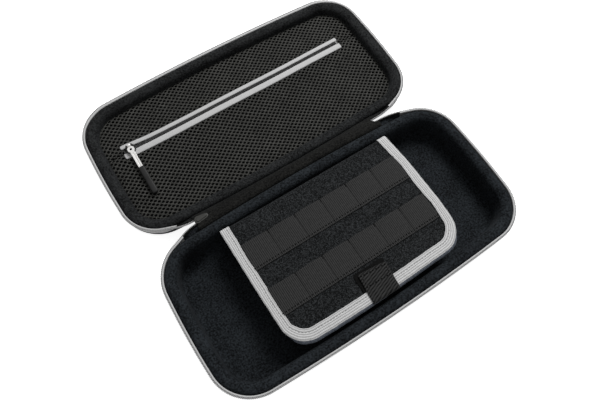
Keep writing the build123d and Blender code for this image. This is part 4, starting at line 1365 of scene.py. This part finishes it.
def build_coil():
    """Two interlocking rows of coil loops on a dark tape."""
    z = COIL_HIGH.z - COIL_DROP
    start, end = COIL_LOW.x + COIL_END_GAP, COIL_HIGH.x - COIL_END_GAP
    rows = []
    for side, shift in ((-1, 0.0), (1, COIL_PITCH / 2)):
        y = ZIP_LINE_Y + side * COIL_ROW_OFFSET
        rows.append([(start + shift, y, z), (end, y, z)])
    piece = set_row("pocket_coil", rows, coil_loop, COIL_PITCH, COIL_PLASTIC)
    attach(piece, "lid")
    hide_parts("pocket_zip_coil")
    half = (COIL_HIGH.y - COIL_LOW.y) / 2 + COIL_TAPE_SPARE
    start, end = COIL_LOW.x - COIL_TAPE_OVERRUN, COIL_HIGH.x + COIL_TAPE_OVERRUN
    table = []
    for x in np.linspace(start, end, COIL_TAPE_STATIONS):
        table.append([(x, ZIP_LINE_Y + across * half, z + up * MM) for across, up in COIL_TAPE_SECTION])
    band = skin("pocket_coil_tape", table, around=True, caps=True)
    wear(band, SPINE_CLOTH_AND_SHADE)
    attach(band, "lid")


build_coil()

# Flap over the well: padded felt that runs down behind the back roll

FLAP_LOW, FLAP_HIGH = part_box("flap_binding")
FLAP_CORNER = 22.9 * MM
BACK_Y = FLAP_HIGH.y
BINDING_COVER = 0.95 * MM
FELT_TOP = FLAP_HIGH.z - BINDING_COVER
FELT_BOTTOM = FLAP_LOW.z + BINDING_COVER
FELT_EDGE = 1.0 * MM
FELT_BACK_REACH = 9 * MM
FELT_BACK_THINNING = 2 * MM
FELT_COLUMNS = 72
FELT_ROWS = 50
BACK_ROWS = 14
BACK_RADIUS = 3.2 * MM
BACK_DEPTH = 10 * MM
BACK_TAPER = 0.035
FELT_SWELL = 0.45 * MM
FELT_PRESSURE = 4.0
FELT_FRAMES = 20
SEAM_EASE = 4 * MM
SIDE_EASE = 9 * MM
SIDE_GAP = 1 * MM
BACK_GAP = 5 * MM
UNDER_GAP = 9 * MM
UNDER_FULL = 18 * MM
UNDER_BACK_FULL = 16 * MM
UNDER_BACK_GAP = 8 * MM
BINDING_WIDTH = 8.5 * MM
REAR_LOW, REAR_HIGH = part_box("card_pockets_rear")
FRONT_LOW, FRONT_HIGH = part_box("card_pockets_front")
STRAP_LOW, STRAP_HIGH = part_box("strap")


def felt_table():
    """Rows of points round the pad from its front edge to the end behind the roll."""
    half = FLAP_HIGH.x - FELT_EDGE
    corner = FLAP_CORNER - FELT_EDGE
    xs = half * np.linspace(-1, 1, FELT_COLUMNS)
    past = np.maximum(np.abs(xs) - (half - corner), 0)
    front = FLAP_LOW.y + FELT_EDGE + corner - np.sqrt(np.maximum(corner**2 - past**2, 0))
    rows = []
    for share in np.linspace(0, 1, FELT_ROWS):
        y = front + share * (BACK_Y - front)
        thin = FELT_BACK_THINNING * smooth(y, BACK_Y - FELT_BACK_REACH, BACK_Y)
        top = np.column_stack([xs, y, np.full(len(xs), FELT_TOP)])
        low = np.column_stack([xs, y, FELT_BOTTOM + thin])
        rows.append(np.vstack([top, low[::-1]]))
    drop = FELT_TOP - BACK_RADIUS
    for step in np.linspace(0, 1, BACK_ROWS + 1)[1:]:
        turn = min(step * 2, 1) * pi / 2
        down = max(step * 2 - 1, 0) * BACK_DEPTH
        thick = (2 - min(step * 2, 1)) * MM
        drawn = xs * (1 - BACK_TAPER * step)
        ring = []
        for radius in (BACK_RADIUS, BACK_RADIUS - thick):
            y = BACK_Y + radius * sin(turn)
            z = drop + radius * cos(turn) - down
            ring.append(np.column_stack([drawn, np.full(len(xs), y), np.full(len(xs), z)]))
        rows.append(np.vstack([ring[0], ring[1][::-1]]))
    return np.array(rows)


def felt_freedom(table):
    """Where the pad may swell: between the seams of binding, pockets and patch, and underneath."""
    x, y, z = table[..., 0], table[..., 1], table[..., 2]
    inner = FLAP_HIGH.x - BINDING_WIDTH
    side = 1 - smooth(np.abs(x), inner - SIDE_EASE, inner - SIDE_GAP)
    bands = (
        (FLAP_LOW.y + BINDING_WIDTH, FRONT_LOW.y),
        (FRONT_HIGH.y, REAR_LOW.y),
        (REAR_HIGH.y, BACK_Y - BACK_GAP),
    )
    top = np.zeros(x.shape)
    for start, end in bands:
        top = np.maximum(top, smooth(y, start, start + SEAM_EASE) * (1 - smooth(y, end - SEAM_EASE, end)))
    under = smooth(y, FLAP_LOW.y + UNDER_GAP, FLAP_LOW.y + UNDER_FULL)
    under = under * (1 - smooth(y, BACK_Y - UNDER_BACK_FULL, BACK_Y - UNDER_BACK_GAP))
    return side * np.where(z > (FELT_TOP + FELT_BOTTOM) / 2, top, under)


FELT_QUALITY = 6
FELT_MASS = 0.3


def swell(piece, freedom, cap, pressure, frames):
    """Inflate a pad where it isn't sewn by a cloth simulation, scaled to a cap, and keep the result."""
    count = len(piece.data.vertices)
    rest = np.empty(3 * count)
    piece.data.vertices.foreach_get("co", rest)
    sewn = piece.vertex_groups.new(name="sewn")
    for i, free in enumerate(freedom):
        sewn.add([i], 1 - float(free), "REPLACE")
    cloth = piece.modifiers.new("swell", "CLOTH")
    cloth.settings.quality = FELT_QUALITY
    cloth.settings.mass = FELT_MASS
    cloth.settings.use_pressure = True
    cloth.settings.uniform_pressure_force = pressure
    cloth.settings.vertex_group_mass = "sewn"
    cloth.settings.effector_weights.gravity = 0
    cloth.collision_settings.use_self_collision = False
    cloth.point_cache.frame_start = 1
    cloth.point_cache.frame_end = frames
    scene = bpy.context.scene
    for number in range(1, frames + 1):
        scene.frame_set(number)
    graph = bpy.context.evaluated_depsgraph_get()
    swollen = np.empty(3 * count)
    piece.evaluated_get(graph).data.vertices.foreach_get("co", swollen)
    piece.modifiers.clear()
    piece.vertex_groups.clear()
    scene.frame_set(1)
    shift = (swollen - rest).reshape(-1, 3)
    shift *= cap / max(float(np.linalg.norm(shift, axis=1).max()), cap)
    piece.data.vertices.foreach_set("co", rest + shift.ravel())
    piece.data.update()


def build_felt():
    """The flap's felt pad, swollen between its seams."""
    table = felt_table()
    piece = skin("flap_felt_pad", table, around=True, caps=True)
    swell(piece, felt_freedom(table).ravel(), FELT_SWELL, FELT_PRESSURE, FELT_FRAMES)
    finer = piece.modifiers.new("finer", "SUBSURF")
    finer.levels = 1
    finer.render_levels = 1
    settle(piece)
    wear(piece, FELT)
    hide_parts("flap_panel", "flap_hinge_tape")
    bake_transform(piece)


build_felt()

# Binding folded round the flap's sides and front

BINDING_STEP = 1.6 * MM
BINDING_TURN = 3.8 * MM
BINDING_OVERRUN = 5.0 * MM
BINDING_SHADE_DROP = -0.7
BINDING_GROOVE = 5.6 * MM
BINDING_PUFF = 0.06 * MM
BINDING_PUFF_RATE = 520
BINDING_PUFF_LOW = -0.3
BINDING_END_THINNING = 0.62
BINDING_END_REACH = 3 * MM
TAPE_FRONT = (36 * MM, 48 * MM)
TAPE_FRONT_GROWTH = 0.7
TAPE_DRAWN_IN = 0.8
DRAWN_IN_PLACES = (27 * MM, -17 * MM)
DRAWN_IN_REACH = 10 * MM
EDGE_INSET = 1.0
EDGE_UNDERSIDE = -5.6
EDGE_BULGE = 2.9 * MM
EDGE_BULGE_TOP = 0.6
EDGE_BULGE_DEPTH = 5.4
EDGE_BULGE_POWER = 0.7
EDGE_BULGE_FACING = (0.3, 0.9)
EDGE_SMOOTHING = 9 * MM
EDGE_SMOOTHING_STEPS = 13
EDGE_WAVES = ((0.07 * MM, 410, 0), (0.05 * MM, 930, 1.3))
STITCH_SINK = 0.15 * MM
BINDING_SECTION = [
    (8.5, -0.6), (8.5, -0.25), (8.25, -0.05), (7.6, 0.0), (6.2, -0.05), (5.6, -0.22), (5.0, -0.05),
    (3.6, 0.0), (2.2, 0.0), (1.0, 0.0), (0.45, -0.08), (0.12, -0.3), (0.0, -0.68), (0.3, -0.9),
    (0.35, -1.5), (0.35, -2.95), (0.35, -4.6), (0.7, -5.4), (1.2, -5.75), (2.4, -5.9), (5.0, -5.9),
    (8.2, -5.9), (8.5, -5.7), (8.5, -5.4), (8.2, -5.1), (5.0, -5.0), (2.0, -4.95), (1.2, -4.6),
    (1.1, -2.95), (1.2, -1.3), (2.0, -0.95), (5.0, -0.9), (8.2, -0.85),
]
EDGE_STRAY = [
    (0, -1.0), (60, -1.2), (82, -1.8), (109, -2.3), (137, -0.8), (171, -0.2), (213, -1.0), (245, -2.0),
    (273, -2.4), (291, -0.6), (308, 0.5), (329, -0.1), (350, -0.3), (365, -1.3), (381, -3.2),
]


def flap_run(step, overrun):
    """Stations round the flap's edge: runs, middles of turning, the normal's angles, runs past the back."""
    left, right = FLAP_LOW.x + FLAP_CORNER, FLAP_HIGH.x - FLAP_CORNER
    front = FLAP_LOW.y + FLAP_CORNER
    lengths = [BACK_Y - front, FLAP_CORNER * pi / 2, right - left, FLAP_CORNER * pi / 2, BACK_Y - front]
    knots = np.concatenate([[0], np.cumsum(lengths)])
    total = knots[-1]
    places = np.linspace(-overrun, total + overrun, int((total + 2 * overrun) / step))
    turn = np.interp(places, knots, [pi, pi, 1.5 * pi, 1.5 * pi, 2 * pi, 2 * pi])
    x = np.interp(places, knots, [left, left, left, right, right, right])
    y = np.interp(places, knots, [BACK_Y, front, front, front, front, BACK_Y])
    past = np.maximum(-places, 0) + np.maximum(places - total, 0)
    return places, x, y, turn, past


def edge_stray(places):
    """How far the bound edge strays outwards from the plain outline, along the run."""
    knots, strays = np.array(EDGE_STRAY).T * MM
    near = np.linspace(-EDGE_SMOOTHING, EDGE_SMOOTHING, EDGE_SMOOTHING_STEPS)
    broad = np.mean([np.interp(places + shift, knots, strays) for shift in near], axis=0)
    return broad + ripple(places, EDGE_WAVES)


def tape_width(y):
    """Width of the tape on the flap's upper side: broad in front, drawn in beside the pocket rows."""
    beside = sum(bump(y, place, DRAWN_IN_REACH) for place in DRAWN_IN_PLACES)
    front = smooth(-y, *TAPE_FRONT)
    return BINDING_WIDTH + (TAPE_FRONT_GROWTH * front - TAPE_DRAWN_IN * beside * (1 - front)) * MM


def binding_run(overrun):
    """Stations round the flap's edge, with outward normals, the edge's stray and the share of width."""
    places, x, y, turn, past = flap_run(BINDING_STEP, overrun)
    out_x, out_y = np.cos(turn), np.sin(turn)
    wide = tape_width(y + FLAP_CORNER * out_y) / BINDING_WIDTH
    return places, (x, y), (out_x, out_y), past, edge_stray(places), wide


def build_binding():
    """Light tape folded over the edge, turned down behind the roll at both ends, with painted shade on its
    outer side and underside.
    """
    places, (x, y), (out_x, out_y), past, stray, wide = binding_run(BINDING_OVERRUN)
    bow = past / BINDING_TURN
    slim = 1 - BINDING_END_THINNING * smooth(past, 0, BINDING_END_REACH)
    rows = []
    for inset, drop in BINDING_SECTION:
        reach = FLAP_CORNER - inset * MM * wide + stray
        if inset < EDGE_INSET or drop < EDGE_UNDERSIDE:
            depth = min(max(-drop - EDGE_BULGE_TOP, 0) / EDGE_BULGE_DEPTH, 1)
            bulge = EDGE_BULGE * sin(pi * depth) ** EDGE_BULGE_POWER
            reach += bulge * smooth(-out_y, *EDGE_BULGE_FACING)
        px = x + reach * out_x
        puff = BINDING_PUFF * np.sin(places * BINDING_PUFF_RATE + inset) * (drop > BINDING_PUFF_LOW)
        radius = BINDING_TURN + drop * MM * slim + puff
        py = y + reach * out_y + radius * np.sin(bow)
        pz = FLAP_HIGH.z - BINDING_TURN + radius * np.cos(bow)
        rows.append(np.column_stack([px, py, pz]))
    piece = skin("flap_edge_binding", np.stack(rows, axis=1), around=True, caps=True)
    wear(piece, BINDING_TAPE)
    # Painted shade: faces below the fold line take the darker slate cloth in place of the light tape, for
    # the shade they lie in.
    piece.data.materials.append(BINDING_SHADE_CLOTH)
    drops = np.array(BINDING_SECTION)[:, 1]
    under = np.minimum(drops, np.roll(drops, -1)) < BINDING_SHADE_DROP
    sides = np.tile(under, len(places) - 1).tolist() + [False, False]
    piece.data.polygons.foreach_set("material_index", np.array(sides, dtype=np.int32))
    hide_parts("flap_binding")
    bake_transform(piece)


build_binding()

# Card pockets: two strips of webbing sewn down between the pockets and along the lower edge

POCKET_COUNT = 6
POCKET_COLUMNS = [
    0, 0.012, 0.024, 0.04, 0.07, 0.13, 0.22, 0.34, 0.5, 0.66, 0.78, 0.87, 0.93, 0.96, 0.976, 0.988,
]
POCKET_BACK_SHARES = [0.0, 0.004, 0.02, 0.06, 0.075, 0.09, 0.12]
POCKET_FRONT_SHARES = [0.87, 0.89, 0.91, 0.93, 0.95, 0.975, 0.99, 1.0]
POCKET_MIDDLE_SHARES = np.linspace(0.17, 0.83, 12)
POCKET_RISE = 0.85 * MM
POCKET_LEAST = 0.55
POCKET_UNEVEN_STEP = 2.1
POCKET_UNEVEN_START = 300
POCKET_LEVEL = 0.95 * MM
POCKET_THICKNESS = 0.75 * MM
POCKET_ARCH = 2.4
POCKET_HEM = 2.5 * MM
POCKET_MOUTH = 1 * MM
POCKET_FOLD_START = 2.4 * MM
POCKET_FOLD_FULL = 1.8 * MM
POCKET_SEAM_DEPTH = 0.6 * MM
POCKET_SEAM_WIDTH = 0.5 * MM
POCKET_FOLD_RISE = 0.15 * MM
HEM_LINE = 2.3 * MM
HEM_DEPTH = 0.06 * MM
HEM_WIDTH = 0.6 * MM
POCKET_SWAY = 0.12 * MM
POCKET_SWAY_RATE = 300
POCKET_EDGE_ROUND = 0.3 * MM


def pocket_height(x, y, low, high):
    """Height of the webbing's upper side above the felt."""
    pitch = (high.x - low.x) / POCKET_COUNT
    local = np.mod((x - low.x) / pitch, 1) - 0.5
    to_seam = (0.5 - np.abs(local)) * pitch
    arch = 1 - (2 * np.abs(local)) ** POCKET_ARCH
    opening = smooth(y, low.y + POCKET_HEM, high.y - POCKET_MOUTH)
    seam = bump(to_seam, 0, POCKET_SEAM_WIDTH)
    fold = smooth(y, high.y - POCKET_FOLD_START, high.y - POCKET_FOLD_FULL)
    hem = bump(y - low.y, HEM_LINE, HEM_WIDTH)
    number = np.floor((x - low.x) / pitch)
    uneven = 0.5 + 0.5 * np.sin(number * POCKET_UNEVEN_STEP + high.y * POCKET_UNEVEN_START)
    rise = arch * opening * POCKET_RISE * (POCKET_LEAST + (1 - POCKET_LEAST) * uneven)
    return POCKET_LEVEL + rise - POCKET_SEAM_DEPTH * seam + POCKET_FOLD_RISE * fold - HEM_DEPTH * hem


def build_pockets(name, node):
    """One row of card pockets."""
    low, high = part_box(node)
    pitch = (high.x - low.x) / POCKET_COUNT
    starts = [low.x + i * pitch for i in range(POCKET_COUNT)]
    xs = np.array([start + share * pitch for start in starts for share in POCKET_COLUMNS] + [high.x])
    depth = high.y - low.y
    shares = np.concatenate([POCKET_BACK_SHARES, POCKET_MIDDLE_SHARES, POCKET_FRONT_SHARES])
    rows = []
    for share in shares:
        at_edge = share in (0.0, 1.0)
        line = high.y - share * depth
        y = line + POCKET_SWAY * np.sin(xs * POCKET_SWAY_RATE + share * 2) * (1 if at_edge else 0.5)
        top = low.z + pocket_height(xs, line, low, high)
        round_off = POCKET_EDGE_ROUND if at_edge else 0.0
        bottom = np.maximum(top - POCKET_THICKNESS + round_off, low.z + round_off)
        upper = np.column_stack([xs, y, top - round_off])
        lower = np.column_stack([xs, y, bottom])
        rows.append(np.vstack([upper, lower[::-1]]))
    piece = skin(name, rows, around=True, caps=True)
    wear(piece, POCKET_WEBBING)
    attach(piece, "flap")
    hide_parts(node)


build_pockets("rear_pockets", "card_pockets_rear")
build_pockets("front_pockets", "card_pockets_front")

# Strap over the flap's front edge, and the hook-and-loop patches

STRAP_HALF = (STRAP_HIGH.x - STRAP_LOW.x) / 2
STRAP_MIDDLE_X = (STRAP_HIGH.x + STRAP_LOW.x) / 2
STRAP_HALF_THICKNESS = 0.75 * MM
STRAP_BEND = 1.65 * MM
STRAP_CORNER = 1.8 * MM
STRAP_LEAN = 1.8 * MM
STRAP_BACK_LEFT = 1.7 * MM
STRAP_BACK_RIGHT = 4.3 * MM
BOX_STITCH_BACK = 2.6 * MM
BOX_STITCH_FRONT = 13 * MM
STRAP_SECTION = [
    (-1.0, 0.0), (-0.995, 0.5), (-0.97, 0.85), (-0.93, 0.98), (-0.6, 1.0), (-0.2, 1.0), (0.2, 1.0),
    (0.6, 1.0), (0.93, 0.98), (0.97, 0.85), (0.995, 0.5), (1.0, 0.0), (0.995, -0.5), (0.97, -0.85),
    (0.93, -0.98), (0.6, -1.0), (0.2, -1.0), (-0.2, -1.0), (-0.6, -1.0), (-0.93, -0.98),
    (-0.97, -0.85), (-0.995, -0.5),
]
STRAP_END_RUNS = (0, 0.1, 0.3, 0.6, 1.0, 1.5, 2.1, 2.6, 3.1)
STRAP_EVEN_START = 3.6 * MM
STRAP_EVEN_STEPS = 26
STRAP_BEND_STEPS = 9
STRAP_TAIL_STEPS = 14
STRAP_END_ROUND = 0.6 * MM
STRAP_END_LEAST = 0.3
STRAP_UPPER = 0.9
STRAP_PRESS = 0.3 * MM
STRAP_PRESS_WIDTH = 0.7 * MM
STRAP_CLEARANCE = 0.05 * MM
STRAP_SKIN = STRAP_HALF_THICKNESS + STRAP_CLEARANCE


def strap_point(across, run, lift):
    """A point of the strap: across it, along it from its sewn end, and off its middle surface."""
    level = STRAP_HIGH.z - STRAP_SKIN
    turn_y = STRAP_LOW.y + STRAP_SKIN + STRAP_BEND
    back = STRAP_HIGH.y - STRAP_BACK_LEFT + (STRAP_BACK_LEFT - STRAP_BACK_RIGHT) * (across + 1) / 2
    flat = STRAP_HIGH.y - turn_y
    lean = STRAP_LEAN * (1 - float(smooth(run, 0, flat)))
    x = STRAP_MIDDLE_X + across * STRAP_HALF + lean
    if run < flat:
        return (x, back + (turn_y - back) * run / flat, level + lift)
    turn = min((run - flat) / STRAP_BEND, pi / 2)
    down = max(run - flat - STRAP_BEND * pi / 2, 0)
    radius = STRAP_BEND + lift
    return (x, turn_y - radius * sin(turn), level - STRAP_BEND + radius * cos(turn) - down)


def strap_runs():
    """Distances along the strap from its sewn end, close together at the end and round the bend."""
    flat = STRAP_HIGH.y - STRAP_LOW.y - STRAP_SKIN - STRAP_BEND
    bent = flat + STRAP_BEND * pi / 2
    tail = STRAP_HIGH.z - STRAP_HALF_THICKNESS - STRAP_BEND - STRAP_LOW.z
    end = np.array(STRAP_END_RUNS) * MM
    even = np.linspace(STRAP_EVEN_START, flat, STRAP_EVEN_STEPS)
    round_bend = np.linspace(flat, bent, STRAP_BEND_STEPS)[1:]
    hanging = np.linspace(bent, bent + tail, STRAP_TAIL_STEPS)[1:]
    return np.concatenate([end, even, round_bend, hanging])


def build_strap():
    """Webbing strap with rounded edges and corners, pressed down along its stitches."""
    rows = []
    for run in strap_runs():
        corner = max(STRAP_CORNER - run, 0)
        narrow = 1 - (STRAP_CORNER - sqrt(STRAP_CORNER**2 - corner**2)) / STRAP_HALF
        end = sqrt(min(run / STRAP_END_ROUND, 1)) * (1 - STRAP_END_LEAST) + STRAP_END_LEAST
        lines = (BOX_STITCH_BACK, BOX_STITCH_FRONT)
        press = STRAP_PRESS * sum(bump(run, line, STRAP_PRESS_WIDTH) for line in lines)
        section = []
        for across, up in STRAP_SECTION:
            lift = up * STRAP_HALF_THICKNESS * end - (press if up > STRAP_UPPER else 0)
            section.append(strap_point(across * narrow, run, lift))
        rows.append(section)
    piece = skin("flap_strap", rows, around=True, caps=True)
    wear(piece, STRAP_WEBBING)
    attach(piece, "flap")
    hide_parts("strap")


build_strap()

PATCH_SIDES = 96
PATCH_SQUARENESS = 0.18
PATCH_STATIONS = ((0.3, 0.0), (0.97, 0.0), (1.0, 0.35), (0.985, 0.85), (0.95, 1.0), (0.6, 1.0), (0.3, 1.0))
PATCH_RAGGED = ((0.006, 31, 0), (0.005, 47, 1))


def build_patch(name, node, body):
    """A fuzzy patch: a thin slab with a ragged edge."""
    low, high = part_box(node)
    spans = [high[i] - low[i] for i in range(3)]
    thin = spans.index(min(spans))
    across, along = [i for i in range(3) if i != thin]
    turns = np.linspace(0, 2 * pi, PATCH_SIDES, endpoint=False)
    ragged = 1 + ripple(turns, PATCH_RAGGED)
    circle = ((across, np.cos(turns)), (along, np.sin(turns)))
    sides = [(axis, squared(value, PATCH_SQUARENESS)) for axis, value in circle]
    rows = []
    for share, depth in PATCH_STATIONS:
        ring = np.empty((len(turns), 3))
        for axis, reach in sides:
            ring[:, axis] = (low[axis] + high[axis]) / 2 + spans[axis] / 2 * share * ragged * reach
        ring[:, thin] = low[thin] + depth * spans[thin]
        rows.append(ring)
    piece = skin(name, np.array(rows), around=True, caps=True)
    wear(piece, PATCH_PILE_AND_SHADE)
    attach(piece, body)
    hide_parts(node)


build_patch("flap_loop_patch", "flap_patch", "flap")
build_patch("strap_hooks", "strap_hook_patch", "flap")
build_patch("wall_loops", "wall_loop_patch", "base")

# Stitches

STITCH_PITCH = 2.75 * MM
STITCH_LINE = 2.2 * MM
STITCH_LIFT = 0.1 * MM
STITCH_END_GAP = 1 * MM
TACK_HALF = 1.1 * MM
TACK_INSET = 0.9 * MM
TACK_LIFT = 0.15 * MM
STITCH_SIZE = (1.5 * MM, 1.05 * MM, 0.6 * MM)
FINE_STITCH_SIZE = (1.5 * MM, 0.5 * MM, 0.3 * MM)
BOX_STITCH_INSET = 2 * MM
stitch = bead("stitch_pattern", *STITCH_SIZE)
fine_stitch = bead("fine_stitch_pattern", *FINE_STITCH_SIZE)


def pocket_stitches(low, high):
    """Stitches of a pocket row: a line along the lower edge, and a tack at each seam's upper end."""
    xs = np.linspace(low.x + STITCH_END_GAP, high.x - STITCH_END_GAP, 200)
    y = low.y + STITCH_LINE
    z = low.z + pocket_height(xs, y, low, high) + STITCH_LIFT
    lines = [np.column_stack([xs, np.full(len(xs), y), z])]
    pitch = (high.x - low.x) / POCKET_COUNT
    for i in range(1, POCKET_COUNT):
        x, y = low.x + i * pitch, high.y - TACK_INSET
        z = low.z + float(pocket_height(x, y, low, high)) + TACK_LIFT
        lines.append(np.array([(x, y - TACK_HALF, z), (x, y + TACK_HALF / 2, z)]))
    return lines


def strap_stitches():
    """Box of stitches on the strap's sewn end."""
    lift = STRAP_HALF_THICKNESS - STITCH_SINK
    side = 1 - BOX_STITCH_INSET / STRAP_HALF
    back, front = BOX_STITCH_BACK, BOX_STITCH_FRONT
    corners = [(-side, back), (side, back), (side, front), (-side, front)]
    lines = []
    for start, end in zip(corners, corners[1:] + corners[:1]):
        steps = np.linspace(start, end, 12)
        lines.append(np.array([strap_point(across, run, lift) for across, run in steps]))
    return lines


def binding_stitches():
    """Line of stitches along the groove in the binding."""
    places, (x, y), (out_x, out_y), past, stray, wide = binding_run(0)
    reach = FLAP_CORNER - BINDING_GROOVE * wide + stray
    z = np.full(len(places), FLAP_HIGH.z - STITCH_SINK)
    return [np.column_stack([x + reach * out_x, y + reach * out_y, z])]


pocket_lines = pocket_stitches(REAR_LOW, REAR_HIGH) + pocket_stitches(FRONT_LOW, FRONT_HIGH)
flap_lines = pocket_lines + strap_stitches()
flap_thread = set_row("flap_dark_stitches", flap_lines, stitch, STITCH_PITCH, DARK_THREAD)
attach(flap_thread, "flap")
binding_thread = set_row("binding_stitches", binding_stitches(), fine_stitch, STITCH_PITCH, GREY_THREAD)
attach(binding_thread, "flap")

for pattern in (tooth, net_cell, coil_loop, stitch, fine_stitch):
    bpy.data.objects.remove(pattern)

# Stage, light and camera

CAMERA_PLACE = Vector((-0.11297, -0.08307, 0.44974))
CAMERA_BACK = Vector((-0.2209, -0.2910, 0.9309))
CAMERA_UP = Vector((0.4945, 0.7893, 0.3640))
CAMERA_LENS = 31.51
SENSOR_WIDTH = 36
CLIP_START = 10 * MM


def aim_camera():
    """Camera at the photo's viewing angle."""
    back = CAMERA_BACK.normalized()
    right = CAMERA_UP.cross(back).normalized()
    up = back.cross(right)
    data = bpy.data.cameras.new("camera")
    data.lens = CAMERA_LENS
    data.sensor_fit = "HORIZONTAL"
    data.sensor_width = SENSOR_WIDTH
    data.clip_start = CLIP_START
    camera = new_piece("camera", data)
    turned = Matrix((right, up, back)).transposed().to_4x4()
    camera.matrix_world = Matrix.Translation(CAMERA_PLACE) @ turned
    bpy.context.scene.camera = camera


aim_camera()

FLOOR_HALF = 20
FLOOR_LEVEL = 0.9
FLOOR_GLOW = 0.85


def lay_floor():
    """Plain pale floor under the case."""
    mesh = bpy.data.meshes.new("floor")
    work = bmesh.new()
    bmesh.ops.create_grid(work, x_segments=1, y_segments=1, size=FLOOR_HALF)
    work.to_mesh(mesh)
    work.free()
    floor = new_piece("floor", mesh)
    constants = {
        "Base Color": grey(FLOOR_LEVEL),
        "Roughness": 0.9,
        "Emission Color": grey(1.0),
        "Emission Strength": FLOOR_GLOW,
    }
    finish = new_finish("floor_white", constants)
    mesh.materials.append(finish)


lay_floor()

KEY_PLACE = Vector((0.55, 0.50, 0.90))
KEY_TARGET = Vector((0.0, 0.08, 0.02))
KEY_SIZE = 0.5
KEY_POWER = 11.0
FILL_STRENGTH = 0.31


def light_stage():
    """One soft light from above, behind and to the right, and an even fill."""
    data = bpy.data.lights.new("key", "AREA")
    data.size = KEY_SIZE
    data.energy = KEY_POWER
    key = new_piece("key", data)
    key.location = KEY_PLACE
    key.rotation_euler = (KEY_TARGET - KEY_PLACE).to_track_quat("-Z", "Y").to_euler()
    world = bpy.data.worlds.new("studio")
    world.use_nodes = True
    sky = world.node_tree.nodes["Background"]
    sky.inputs["Color"].default_value = grey(1.0)
    sky.inputs["Strength"].default_value = FILL_STRENGTH
    bpy.context.scene.world = world


light_stage()
bpy.context.scene.view_settings.view_transform = "Standard"
